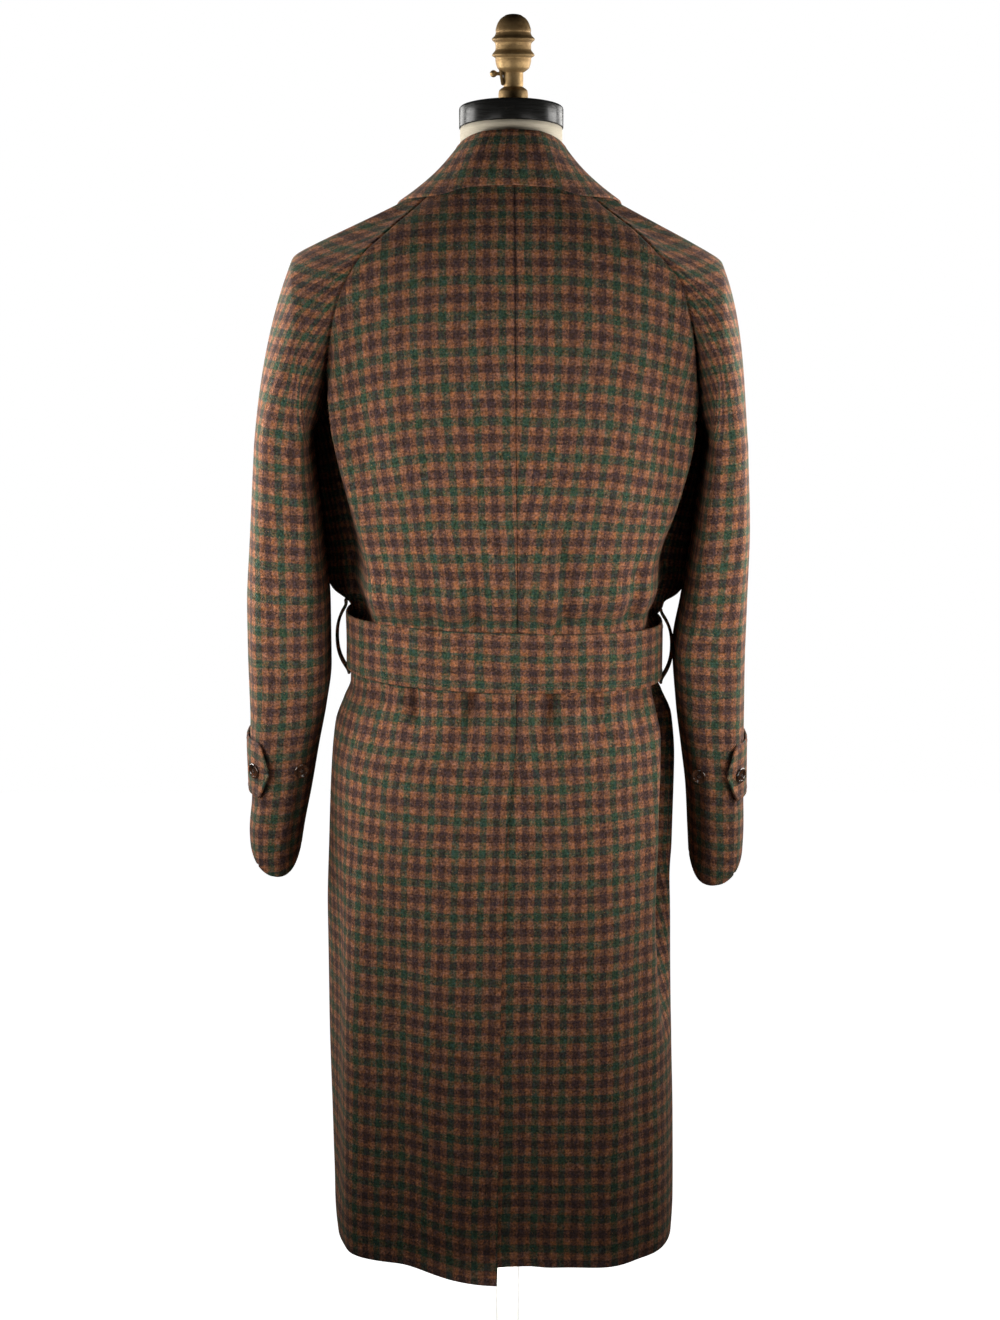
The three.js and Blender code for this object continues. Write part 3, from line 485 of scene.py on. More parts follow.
@dataclass
class CoatForm:
    """The coat's main surface: level sections round the body."""

    ring: Table = table(
        "left right back front squareness power",
        (414, 187, 181, 152, 160, 3.6, 2.3), (470, 193, 184, 150, 159, 3.4, 2.3),
        (560, 195, 183, 148, 157, 3.1, 2.3), (680, 197, 180, 146, 155, 2.8, 2.3),
        (790, 197, 180, 143, 153, 2.6, 2.3), (870, 194, 181, 141, 150, 2.5, 2.3),
        (950, 190, 182, 137, 145, 2.4, 2.3), (1000, 185, 178, 131, 138, 2.4, 2.3),
        (1028, 175, 167, 122, 130, 2.4, 2.3), (1046, 168, 161, 117.5, 125.5, 2.4, 2.3),
        (1088, 167, 160, 117, 125, 2.4, 2.3), (1124, 168, 161, 118, 126, 2.4, 2.3),
        (1144, 179, 172, 127, 134, 2.4, 2.3), (1190, 184, 181, 130, 137, 2.4, 2.3),
        (1260, 191, 191, 129, 133, 2.4, 2.4), (1335, 197, 199, 125, 124, 2.4, 2.4),
        (1362, 201, 203, 123, 120, 2.4, 2.4), (1410, 211, 212, 118, 112, 2.4, 2.4),
        (1438, 218, 218, 113, 107, 2.4, 2.4), (1466, 222, 221, 106, 101, 2.4, 2.4),
        (1494, 211, 211, 98, 94, 2.4, 2.4), (1520, 160, 158, 88, 86, 2.4, 2.4),
        (1545, 107, 107, 75, 72, 2.4, 2.4), (1568, 77, 80, 62, 56, 2.3, 2.3))
    raglan: Table = table(
        "back_left back_right front",
        (1322, 195.9, 197.6, 195.9), (1329, 195.2, 197.2, 195.3), (1337, 192.6, 195.2, 193),
        (1345, 189.5, 192.5, 190), (1362, 188, 192.5, 187), (1385, 185, 192, 183),
        (1410, 181, 188.5, 178), (1438, 175, 182, 171), (1466, 165, 174, 161),
        (1494, 148, 152, 146), (1520, 120, 126, 122), (1545, 90, 93, 92), (1568, 66, 70, 66))
    # The deep fold at each side over the belt, which runs out in the lower raglan
    # seam: how far it is open, where it starts by the distance round the body from
    # the centre-back seam, and the width over which the cloth rolls in.
    side_fold: Table = table(
        "left_open right_open left right roll",
        (660, 0, 0, 160, 192, 14), (760, 0, 0.7, 160, 187, 13), (850, 0, 1, 160, 184, 12),
        (1000, 0, 1, 160, 178, 12), (1045, 0, 1, 158, 162, 14), (1058, 0, 0.9, 156, 154, 18),
        (1080, 0, 0, 150, 142, 30), (1112, 1, 1, 146, 136, 38), (1158, 1, 1, 148, 138, 42),
        (1192, 1, 1, 153, 144, 42), (1232, 1, 1, 167, 168, 38), (1272, 1, 1, 184, 191, 30),
        (1304, 0.95, 0.95, 198, 207, 18), (1325, 0.8, 0.8, 202, 208, 14),
        (1345, 0.6, 0.6, 203, 208, 12), (1362, 0.3, 0.3, 200, 208, 8),
        (1385, 0.14, 0.14, 193, 204, 6.5), (1410, 0.05, 0.05, 186, 196, 5.5),
        (1430, 0, 0, 178, 187, 5))
    # Fullness just before the side seams, where the coat fills the space up to the sleeve.
    side_fullness: Table = table(
        "left right",
        (1106, 0, 0), (1110, 0, 2), (1116, 0, 16), (1120, 2, 20), (1126, 9, 23), (1134, 14, 26),
        (1144, 18, 27.5), (1155, 22, 28.5), (1172, 26, 29), (1195, 27, 30), (1230, 27.5, 30),
        (1260, 27.5, 30), (1300, 28, 30), (1322, 24, 26), (1345, 12, 12), (1362, 5, 5),
        (1385, 0, 0))
    fullness_turn: float = 0.32    # how far round to the front it is greatest
    fullness_spread: float = 0.3
    fold_floor: float = -22.0      # how far forward of the middle the fold's floor lies
    fold_reach: float = 34.0       # how far the fold's floor runs on round the front
    hem: float = 434.0
    underarm: float = 1322.0       # where the side seam meets the raglan seam
    neckline: float = 1568.0
    gorge: float = 1548.0          # top of the lapels' roll
    break_height: float = 1330.0   # foot of the lapels' roll
    front_edge: float = 95.0       # how far each front reaches across the centre
    roll_top: float = 60.0         # how far from the centre the roll ends

    def point(self, angle: Array, z: Array) -> Array:
        """Points at an angle round the body, 0 the centre back and +90 degrees the left."""
        angle, z = np.broadcast_arrays(np.asarray(angle, float), np.asarray(z, float))
        s, c = np.sin(angle), np.cos(angle)
        across = np.where(s >= 0, self.ring("left", z), self.ring("right", z))
        deep = np.where(c >= 0, self.ring("back", z), self.ring("front", z))
        bow = 2 / np.where(c >= 0, self.ring("squareness", z), self.ring("power", z))
        return np.stack([across * signed_power(s, bow), deep * signed_power(c, bow), z], -1)

    def normal(self, angle: Array, z: Array) -> Array:
        """Outward unit normals at the same places."""
        turn, rise = 0.01, 2.0
        around = self.point(angle + turn, z) - self.point(angle - turn, z)
        upward = self.point(angle, z + rise) - self.point(angle, z - rise)
        return unit(np.cross(upward, around))

    def angle_at(self, x: Array, z: Array, on_front: bool = False) -> Array:
        """The angle at which the section reaches x on its back or its front."""
        x, z = np.broadcast_arrays(np.asarray(x, float), np.asarray(z, float))
        limit = np.where(x >= 0, self.ring("left", z), self.ring("right", z))
        power = self.ring("power" if on_front else "squareness", z)
        turn = np.arcsin(np.minimum(1, np.abs(x) / limit) ** (power / 2))
        return np.where(x < 0, -1.0, 1.0) * (np.pi - turn if on_front else turn)

    def outer_angle(self, z: Array, side: Side, on_front: bool) -> Array:
        """Where a panel ends: at the side seam, or at the raglan seam above it."""
        name = "front" if on_front else f"back_{side.word}"
        seam = self.angle_at(side.value * self.raglan(name, z), z, on_front)
        return np.where(z <= self.underarm, side.value * np.pi / 2, seam)

    def arc(self, angle: Array, z: Array) -> Array:
        """Distance round the section from the centre back, positive to the left."""
        fine = np.linspace(-np.pi, np.pi, 721)
        rows = np.asarray(z)[:, :1]
        ring = self.point(fine[None, :], rows)
        length = travelled(ring, 1)
        length -= length[:, 360:361]
        wrapped = (np.asarray(angle) + np.pi) % (2 * np.pi) - np.pi
        return np.stack([np.interp(a, fine, run) for a, run in zip(wrapped, length)])

    def fullness(self, side: Side, angle: Array, z: Array) -> Array:
        """How far the cloth stands out beside the side seam."""
        turn = np.abs((angle + np.pi) % (2 * np.pi) - np.pi) - np.pi / 2
        spread = np.exp(-((turn - self.fullness_turn) / self.fullness_spread) ** 2)
        return self.side_fullness(side.word, z) * spread

    def fold_back(self, side: Side, points: Array, distance: Array) -> None:
        """Draws the side of the back forward into the deep fold.

        Args:
            side: The panel's side.
            points: Its points, which are changed in place.
            distance: Their distances from the centre-back seam, all positive.
        """
        z = points[..., 2]
        share = smooth((distance - self.side_fold(side.word, z)) / self.side_fold("roll", z))
        share = share * self.side_fold(f"{side.word}_open", z)
        points[..., 1] += (self.fold_floor - points[..., 1]) * share

    def fold_front(self, side: Side, points: Array, beyond: Array) -> None:
        """Draws a front forward to the fold's floor, by the distance past the side seam."""
        share = np.exp(-(beyond / self.fold_reach) ** 2)
        share = share * self.side_fold(f"{side.word}_open", points[..., 2])
        points[..., 1] += self.fold_floor * share


@dataclass
class CheckPlan:
    """How the check lies on the body: its rows by height, its columns by panel.

    The body's cloth hangs lower towards the sides above the belt, and the
    shaped centre seam and the gathers at the belt take columns in.
    """

    rows: Table = table(
        "row",
        (400, -30.6), (455, -29), (690, -22), (824, -18), (1027, -12), (1163, -8), (1300, -4),
        (1438, 0), (1472, 1), (1505, 2), (1534, 3), (1558, 4), (1580, 5))
    columns: Table = table(
        "left_start left_pitch right_start right_pitch",
        (420, -3.3, 27, 10.6, 28.6), (485, -3.3, 27, 10.4, 28.6), (687, -4.4, 27, 9.2, 28.4),
        (882, -3, 27, 7.5, 27.5), (957, -0.4, 26.9, -0.2, 26.9), (1030, 2.8, 25.2, -11, 26.8),
        (1140, 2.3, 25.2, -10, 26.3), (1214, 6.7, 26.7, -5.4, 27.4), (1286, 8.6, 28, 6, 27.6),
        (1357, 10.4, 29.3, 11.5, 28.1), (1427, 12.6, 29.4, 13.5, 29.2),
        (1580, 12.9, 29.4, 13.5, 29.3))
    side_drop: float = 10.0        # extra hang of the rows 125 mm from the centre
    drop_power: float = 2.8

    def along(self, x: Array, z: Array) -> Array:
        """Place along the cloth's length, in millimetres of check."""
        drop = self.side_drop * np.minimum(np.abs(x) / 125, 1.6) ** self.drop_power
        return self.rows("row", z + drop * smooth((z - 1130) / 150)) * REPEAT_ALONG

    def across_back(self, side: Side, distance: Array, z: Array) -> Array:
        """Place across the cloth, by the distance from the centre-back seam."""
        start = self.columns(f"{side.word}_start", z)
        pitch = self.columns(f"{side.word}_pitch", z)
        return (distance - start) / pitch * REPEAT_ACROSS


@dataclass
class BodyPanels:
    """The two backs and the two fronts, cut to the coat's sections."""

    form: CoatForm
    plan: CheckPlan
    row_pitch: float = 4.6
    column_pitch: float = 4.8      # of the fronts
    back_pitch: float = 3.2
    back_width: float = 250.0      # rough widths, for spacing the columns
    front_width: float = 330.0
    # Where the folds end: a height, and the fades over it of the back and the front.
    flat_from: tuple[float, float, float] = (1440.0, 60.0, 50.0)
    centre_flat: float = 14.0      # width beside the centre seam that no fold reaches
    blouse: tuple[float, float, float] = (5.0, 1153.0, 17.0)    # overhang: depth, height, spread
    # How far from the centre back, and beyond the side seam in front, the side folds
    # take up cloth, and the fade there.
    take_up: tuple[float, float, float] = (95.0, 70.0, 20.0)
    check_shift: float = 7.0       # of the fronts' check, across
    seam_columns: int = 6          # beside the centre seam, they lie free in the vent
    vent_top: float = 990.0
    vent_underlap: float = 34.0
    vent_flap: tuple[float, ...] = (1.0, 0.97, 0.8, 0.55, 0.3, 0.08)    # its columns, as shares
    corner_droop: float = 20.0     # how far the vent's hanging corner drops
    corner_reach: float = 110.0
    skirt_fade: float = 400.0      # height over which the droop fades
    under_sink: float = 0.8        # how far the right front sinks under the left
    shaped: tuple[tuple[float, float], ...] = ((1012, 1060), (1106, 1160))    # by the belt
    shaped_pitch: float = 2.4
    peak: tuple[float, float] = (126.0, 1498.0)     # the lapels' points: x and height
    peak_bow: dict[Side, float] = each(8.0, 4.0)    # how far their outer edges bow out
    centre_back: Table = table(
        "x",
        (430, 12), (732, 8), (895, 3), (970, -4), (1007, -8), (1157, -9), (1357, -7), (1568, -6))
    # Folds of the back, by the distance round the body from the centre-back seam.
    back_folds: tuple[Crease, ...] = (
        # The side drape over the belt: its proud edge, which rolls into the deep side fold.
        Crease(((206, 1400), (203, 1330), (187, 1272), (163, 1192), (158, 1158), (154, 1118)),
               4.0, 16, 6, fade=0.25, end=0.8),
        Crease(((-214, 1400), (-212, 1330), (-196, 1262), (-158, 1190), (-151, 1158),
                (-147, 1118)), 4.0, 6, 16, fade=0.25, end=0.8),
        # The pressed fold beside the centre seam, and softer ones over the belt.
        hanging(((-34, 1262), (-36, 1200), (-37, 1128)), 6.5, 2.4, 16, end=1.0),
        hanging(((-43, 1250), (-45, 1190), (-46, 1128)), -5.6, 12, 3, end=1.0),
        gathered(((40, 1225), (41, 1160), (42, 1126)), -7.5, 8),
        gathered(((92, 1200), (88, 1150), (86, 1126)), -4.6, 9),
        gathered(((70, 1215), (64, 1160), (63, 1126)), 2.2, 12),
        gathered(((-78, 1220), (-74, 1170), (-72, 1126)), -2.4, 11),
        gathered(((-112, 1235), (-104, 1175), (-101, 1126)), 2.6, 12),
        gathered(((-132, 1205), (-124, 1160), (-121, 1126)), -5.0, 8),
        gathered(((128, 1220), (122, 1165), (119, 1126)), 2.4, 11),
        # Long soft drags from the shoulder blades.
        drag(((150, 1420), (128, 1340), (104, 1240)), 2.2, 26),
        drag(((-155, 1420), (-134, 1330), (-112, 1230)), 2.4, 28),
        drag(((176, 1392), (160, 1300), (140, 1215)), -2.6, 17),
        drag(((-182, 1392), (-166, 1300), (-142, 1215)), -2.8, 17),
        # Tucks held under the belt's lower edge.
        Crease(((107, 1060), (104, 1036), (98, 1004)), -12.0, 2.5, 12, fade=0.7, start=1.0),
        tucked(((41, 1060), (46, 1030), (52, 990)), -13.0, 2.5, 13),
        tucked(((-33, 1060), (-31, 1026), (-28, 985)), -13.0, 12, 2.5),
        tucked(((-82, 1056), (-84, 1026), (-87, 985)), -5.5, 8),
        tucked(((-128, 1056), (-130, 1025), (-133, 985)), -3.4, 9),
        tucked(((146, 1056), (150, 1020), (156, 975)), -4.2, 10),
        tucked(((74, 1056), (76, 1010), (80, 940)), 3.0, 14),
        tucked(((15, 1056), (18, 1010), (20, 950)), 2.4, 12),
        tucked(((-55, 1056), (-56, 1010), (-58, 930)), 3.0, 16),
        tucked(((-108, 1056), (-110, 1000), (-112, 930)), 2.6, 13),
        # Slow waves of the skirt, deeper towards the hem.
        hanging(((62, 930), (56, 760), (52, 434)), 4.2, 30, 24),
        hanging(((112, 960), (108, 700), (104, 434)), -4.5, 24, 28),
        hanging(((158, 980), (162, 720), (163, 434)), 4.4, 22, 18),
        hanging(((206, 960), (210, 760), (214, 500)), -9.0, 24, 30, end=0.6),
        hanging(((-64, 900), (-68, 700), (-70, 434)), -2.6, 26, 30),
        hanging(((-112, 960), (-116, 720), (-120, 434)), 4.0, 26, 24),
        hanging(((-16, 930), (-26, 720), (-32, 434)), -6.0, 16, 34, end=1.0),
        hanging(((-152, 900), (-156, 690), (-158, 434)), -2.4, 16, 18),
        Crease(((-184, 1050), (-192, 960), (-200, 830), (-204, 700)), -14.0, 22, 16,
               fade=0.35, start=0.9, end=0.3),
        Crease(((-166, 1052), (-172, 940), (-178, 800)), 3.6, 8, 14, fade=0.4, start=0.8),
    )
    # Folds of the fronts, by the distance from the centre front, towards the side.
    front_folds: tuple[Crease, ...] = (
        Crease(((196, 1370), (186, 1280), (172, 1200), (166, 1118)), 4.0, 12, 8, 0.3, end=0.8),
        Crease(((226, 1350), (216, 1270), (200, 1195), (194, 1085)), -12.0, 20, 22, 0.3, end=0.7),
        gathered(((152, 1230), (146, 1180), (142, 1126)), -3.4, 10),
        gathered(((118, 1225), (114, 1175), (112, 1126)), 2.6, 12),
        drag(((160, 1440), (146, 1370), (128, 1290)), 2.4, 22),
        drag(((180, 1400), (166, 1330), (150, 1250)), -2.8, 16),
        tucked(((124, 1056), (128, 1030), (132, 985)), -4.6, 8),
        tucked(((160, 1056), (164, 1020), (170, 960)), -4.0, 9),
        tucked(((142, 1056), (147, 1000), (154, 900)), 3.4, 14),
        hanging(((132, 940), (138, 700), (142, 434)), -4.4, 24, 28),
        hanging(((176, 960), (184, 700), (190, 434)), 4.2, 24),
        Crease(((214, 1040), (226, 900), (232, 700), (234, 500)), -9.0, 20, 24,
               fade=0.4, start=0.5, end=0.4),
    )

    def _rows(self) -> Array:
        """Heights of the panels' rows, closer where the belt and the neck shape them."""
        form = self.form
        heights = np.arange(form.hem, form.neckline, self.row_pitch)
        close = np.concatenate([np.arange(*span, self.shaped_pitch) for span in self.shaped])
        edge = np.array([form.hem + 1.2, form.hem + 2.8, 1562.5, 1565, 1566.8, form.neckline])
        merged = np.unique(np.round(np.concatenate([heights, close, edge]), 1))
        merged = merged[np.concatenate([[True], np.diff(merged) > 0.9])]
        merged[-1] = form.neckline
        return merged[:, None]

    def _blouse(self, z: Array) -> Array:
        """The cloth's small overhang just above the belt."""
        depth, height, spread = self.blouse
        return depth * np.exp(-((z - height) / spread) ** 2)

    def back(self, side: Side) -> Cloth:
        """Builds a back panel; the left one lies over the vent, the right one under."""
        form, z = self.form, self._rows()
        edge = self.centre_back("x", z)
        seam = form.angle_at(edge, z)
        end = form.outer_angle(z, side, False)
        left = side is Side.LEFT
        flat_height, back_fade, _ = self.flat_from
        share = seam_steps(self.back_width, self.back_pitch)[None, :]
        if left:
            angle = seam + (end - seam) * share
            lift = np.zeros(angle.shape)
        else:
            tuck = smooth((self.vent_top - z) / 5)
            under = -(CLOTH + LAYER_GAP + 0.2)
            flap = np.array(self.vent_flap)[None, :]
            closed_x = edge - SEAM_PULL - 0.4 * np.arange(flap.size)[None, :]
            flap_x = tuck * (edge + flap * self.vent_underlap) + (1 - tuck) * closed_x
            first = form.angle_at(edge - 2.0 - 0.8 * (1 - tuck), z)
            run = first + (end - first) * share
            angle = np.concatenate([form.angle_at(flap_x, z), run], axis=1)
            x = form.point(angle, z)[..., 0]
            lift = under * tuck * (1 - smooth((edge - 3 - x) / 11))
        arc = form.arc(angle, np.broadcast_to(z, angle.shape))
        distance = arc - form.arc(seam, z)
        x = form.point(angle, z)[..., 0]
        level = np.broadcast_to(z, angle.shape).copy()
        if left:
            reach = np.abs(x - self.centre_back("x", form.hem))
            sag = smooth(1 - reach / self.corner_reach)
            level -= self.corner_droop * sag * np.clip(1 - (z - form.hem) / self.skirt_fade, 0, 1)
        normal = form.normal(angle, level)
        still = smooth((np.abs(distance) if left else -distance) / self.centre_flat)
        folds = relief(self.back_folds, distance, level) * np.where(z > 1000, 1, still)
        neck = 1 - smooth((z - flat_height) / back_fade)
        proud = lift + (folds + self._blouse(level)) * neck + form.fullness(side, angle, level)
        points = form.point(angle, level) + normal * proud[..., None]
        away = side.value * distance
        form.fold_back(side, points, away)
        start, _, fade = self.take_up
        taken = self._taken_up(points, away, smooth((away - start) / fade))
        check = pair(side.value * (self.plan.across_back(side, away, z) + taken),
                     self.plan.along(x, z))
        outward = agreeing(grid_normals(points), normal, each=False)
        cloth = ClothGrid(points, check, outward, askew=True)
        sewn = z[:, 0] > self.vent_top
        free = cloth.points[:, :self.seam_columns].copy()
        cloth.roll_in(first=True, last=True)
        cloth.points[~sewn, :self.seam_columns] = free[~sewn]
        return cloth.mesh(f"cloth_back_{side.word}")

    @staticmethod
    def _taken_up(points: Array, distance: Array, share: Array) -> Array:
        """Cloth that the side fold takes up, so that the check keeps its size in it.

        Args:
            points: Rows of points that run outwards.
            distance: Their distances before the cloth was folded.
            share: How much of the fold counts at each point.

        Returns:
            The length to add to each distance.
        """
        path = np.linalg.norm(np.diff(points, axis=1), axis=2)
        extra = np.maximum(path - np.abs(np.diff(distance, axis=1)), 0) * share[:, 1:]
        return np.pad(np.cumsum(extra, axis=1), ((0, 0), (1, 0)))

    def _front_edge(self, z: Array) -> Array:
        """Where a front's free edge lies across the centre, below and above the break."""
        form = self.form
        roll = -form.front_edge + (form.roll_top + form.front_edge) * (
            (z - form.break_height) / (form.gorge - form.break_height))
        return np.where(z <= form.break_height, -form.front_edge, roll)

    @staticmethod
    def overlap(x: Array, z: Array) -> Array:
        """How far the left front stands off to lie over the right one."""
        return OVERLAP_RISE * (1 - smooth((x - 100) / 25)) * (1 - smooth((z - 1430) / 70))

    def front(self, side: Side) -> Cloth:
        """Builds a front from the side or raglan seam to its free edge."""
        form, z = self.form, self._rows()
        share = seam_steps(self.front_width, self.column_pitch, last=False)[None, :]
        near_neck = np.clip((z - 1545) / 23, 0, 1)
        level = z - near_neck * (10 + 10 * share)
        start = form.outer_angle(z, side, True)
        edge = form.angle_at(side.value * self._front_edge(level), level, True)
        end = np.where(edge * side.value < 0, edge + side.value * 2 * np.pi, edge)
        angle = start + (end - start) * share
        x = form.point(angle, level)[..., 0]
        if side is Side.LEFT:
            lift = self.overlap(x, level)
        else:
            lift = -self.under_sink * smooth((x + 100) / 40)
        turned = (angle + np.pi) % (2 * np.pi) - np.pi
        half = side.value * form.arc(np.full(z.shape, side.value * (np.pi - 1e-6)), z)
        distance = half - side.value * form.arc(turned, level)
        distance = np.where(distance > half, distance - 2 * half, distance)
        flat_height, _, front_fade = self.flat_from
        folds = relief(self.front_folds, distance, level)
        folds = folds * (1 - smooth((level - flat_height) / front_fade))
        normal = form.normal(angle, level)
        proud = lift + folds + self._blouse(level) * smooth((distance - 95) / 25)
        proud = proud + form.fullness(side, angle, level)
        points = form.point(angle, level) + normal * proud[..., None]
        seam = side.value * form.arc(np.full(z.shape, side.value * np.pi / 2), z)
        beyond = half - seam - distance
        form.fold_front(side, points, beyond)
        _, stop, fade = self.take_up
        counted = 1 - smooth((beyond - stop) / fade)
        taken = self._taken_up(points[:, ::-1], distance[:, ::-1], counted[:, ::-1])[:, ::-1]
        check = pair(side.value * (distance + taken) + self.check_shift,
                     self.plan.along(x, level))
        outward = agreeing(grid_normals(points), normal, each=False)
        cloth = ClothGrid(points, check, outward, askew=True)
        return cloth.roll_in(first=True, top=True).mesh(f"cloth_front_{side.word}")

    def lapel(self, side: Side) -> Cloth:
        """Builds a turned-back peak lapel."""
        form = self.form
        lift = 2 * CLOTH + LAYER_GAP
        if side is Side.LEFT:
            inner_foot = (2 - form.front_edge, form.break_height + 4)
            outer_foot = (8 - form.front_edge, form.break_height + 2)
        else:                          # only its top shows above the left front
            inner_foot, outer_foot = (4.0, 1470.0), (34.0, 1428.0)
            lift -= 2
        inner = (inner_foot, (form.roll_top - 1, form.gorge - 3))
        outer = (outer_foot, self.peak)
        v, w = steps(60)[:, None], steps(26)[None, :]

        def along(index: int) -> Array:
            """One coordinate of the grid between the inner and the outer line."""
            start = inner[0][index] + (inner[1][index] - inner[0][index]) * v
            stop = outer[0][index] + (outer[1][index] - outer[0][index]) * v
            return start + (stop - start) * w

        bulge = self.peak_bow[side] * 4 * v * (1 - v) * w
        x, z = along(0) + bulge, along(1) - bulge
        proud = lift + (self.overlap(x, z) if side is Side.LEFT else 0.0)
        proud = proud + 1.6 * np.sin(np.pi * w) * smooth(v * 3) + 0 * z
        angle = form.angle_at(side.value * x, z, True)
        normal = form.normal(angle, z)
        points = form.point(angle, z) + normal * proud[..., None]
        lean = math.atan2(form.roll_top + form.front_edge, form.gorge - form.break_height) * 0.5
        turn_x = x * math.cos(lean) - z * math.sin(lean)
        turn_z = x * math.sin(lean) + z * math.cos(lean)
        outward = agreeing(grid_normals(points), normal, each=False)
        cloth = ClothGrid(points, pair(side.value * turn_x, turn_z), outward)
        return cloth.mesh(f"cloth_lapel_{side.word}")


@dataclass
class Sleeves:
    """Two-piece raglan sleeves, hanging, with their tabs.

    A turn round a sleeve is 0 towards the body, 90 degrees behind and 180 outside.
    """

    form: CoatForm
    plan: CheckPlan
    # A sleeve's sections by height: its outer and inner x, its middle y and half its depth.
    sections: dict[Side, Table] = each(
        Table(["out", "in", "middle", "depth"], [
            (820, 281, 233, -44, 62), (869, 284, 225, -39, 64), (917, 279.5, 215, -32, 67),
            (965, 279.5, 206, -26, 69), (1012, 277.5, 196.5, -20, 72),
            (1059, 277.5, 190, -15, 74), (1129, 276.5, 189.5, -9, 77),
            (1195, 271.5, 194.5, -4, 79), (1300, 263.5, 204, 0, 80)]),
        Table(["out", "in", "middle", "depth"], [
            (812, 257.5, 203, -44, 62), (869, 259.5, 199, -38, 64), (917, 257.5, 195.5, -31, 67),
            (965, 256, 189, -26, 69), (1012, 254.5, 182.5, -20, 71), (1082, 253, 177, -12, 74),
            (1129, 253, 184, -8, 76), (1195, 253.5, 194, -4, 78), (1300, 248.5, 207, 0, 79)]))
    # The ring over the shoulder: outer x and z, inner x and z, depth.
    shoulders: dict[Side, tuple[float, ...]] = each((221, 1489, 203, 1313, 85),
                                                    (219, 1485, 206, 1313, 85))
    neck_side: dict[Side, float] = each(1556.0, 1552.0)    # height of each seam's neck end
    cuff: dict[Side, float] = each(857.0, 847.0)
    cuff_slant: float = 29.0       # the cuff is this much lower behind than midway
    cuff_turn: float = 0.38        # its lowest place lies this far round towards the body
    # Heights up the raglan seam from the underarm, an even share of the seam apart.
    seam_knots: tuple[float, ...] = (1342, 1362, 1385, 1410, 1438, 1466, 1494, 1520, 1545, 1568)
    seam_close: tuple[float, ...] = (0, 0.008, 0.018, 0.034, 0.055)    # rows beside it, as shares
    seam_steepness: float = math.radians(70)    # how steeply the sleeve leaves the underarm
    pitch: float = 4.6             # spacing of the columns
    half_round: float = 260.0      # rough distance round a sleeve half, for spacing them
    arm_top: float = 1300.0
    shoulder_slope: float = math.radians(31)
    tab_height: dict[Side, float] = each(953.0, 950.0)
    tab_half: float = 31.0
    tab_lift: float = 1.2
    tab_turns: tuple[float, float] = (101.0, 236.0)    # where the tab's tip and root lie
    tip_curl: float = 6.2          # how far the tip's corners lift
    curl_reach: float = 26.0       # degrees over which they do
    # The tab's pointed end: half its width, as a share, by the degrees round the sleeve.
    tab_point: Table = table(
        "half",
        (101, 0.1), (104, 0.36), (108, 0.66), (114, 0.93), (120, 1), (236, 1))
    # The check's rows down the sleeves, and how steeply they rise outwards.
    check_rows: Table = table(
        "row rise",
        (800, -20.1, -0.12), (866, -18, -0.12), (937, -16, -0.12), (1040.5, -13, -0.08),
        (1143.5, -10, 0.04), (1246, -7, 0.12), (1348, -4, 0.16), (1383, -3, 0.12),
        (1417, -2, 0.02), (1451.6, -1, -0.12), (1484, 0, -0.2), (1514, 1, -0.25),
        (1540, 2, -0.25), (1570, 3.2, -0.25))
    round_mm: float = 440.0        # nominal distance round a sleeve, for placing folds
    back_seam: Crease = Crease(
        ((148, 790), (151, 900), (164, 960), (182, 1010), (202, 1100), (216, 1220)),
        -1.3, 1.6, fade=0.2, start=1.0)
    # Folds by (millimetres round the sleeve from the body side, height).
    folds: tuple[Crease, ...] = (
        drag(((60, 1372), (70, 1310), (76, 1230)), 1.5, 12, 18),
        drag(((22, 1290), (60, 1268), (108, 1262)), -2.2, 13, fade=0.6),
        drag(((120, 1330), (128, 1250), (124, 1160), (132, 1060)), -2.2, 22, 16),
        drag(((96, 1230), (92, 1130), (98, 1020), (94, 930)), 2.4, 18, 24),
        drag(((30, 1150), (66, 1118), (112, 1110)), -2.6, 12, fade=0.6),
        drag(((20, 1096), (58, 1072), (104, 1072)), 2.2, 12, fade=0.6),
        drag(((36, 1052), (72, 1028), (120, 1034)), -2.4, 11, fade=0.6),
        hanging(((58, 980), (64, 920), (58, 850)), -2.6, 12, 16, end=0.7),
        hanging(((100, 900), (104, 860), (106, 815)), 2.0, 14),
        drag(((150, 1180), (156, 1080), (150, 960)), 2.0, 16),
        drag(((210, 1260), (236, 1200), (270, 1180)), -2.4, 14, fade=0.6),
        drag(((230, 1120), (262, 1090), (310, 1096)), -2.8, 13, fade=0.6),
        drag(((222, 1060), (256, 1034), (300, 1040)), 2.2, 13, fade=0.6),
        hanging(((260, 1300), (268, 1180), (262, 1020), (258, 880)), 2.4, 22, end=0.5),
        drag(((330, 1300), (338, 1180), (330, 1060)), -3.0, 18),
        drag(((390, 1380), (376, 1300), (372, 1220)), -7.0, 12, fade=0.4),
    )

    def arm(self, side: Side, turn: Array, z: Array) -> Array:
        """Points of a hanging sleeve's section."""
        ring = self.sections[side]
        out, inner = ring("out", z), ring("in", z)
        c, s = np.cos(turn), np.sin(turn)
        flat = smooth((z - 900) / 200)
        bow = 2 / np.where(s >= 0, np.where(c >= 0, 2.8 + 1.6 * flat, 2.5 + 0.3 * flat),
                           np.where(c >= 0, 1.9, 2.2))
        x = (out + inner) / 2 - (out - inner) / 2 * signed_power(c, bow)
        y = ring("middle", z) + ring("depth", z) * signed_power(s, bow)
        return np.stack(np.broadcast_arrays(side.value * x, y, z), -1)

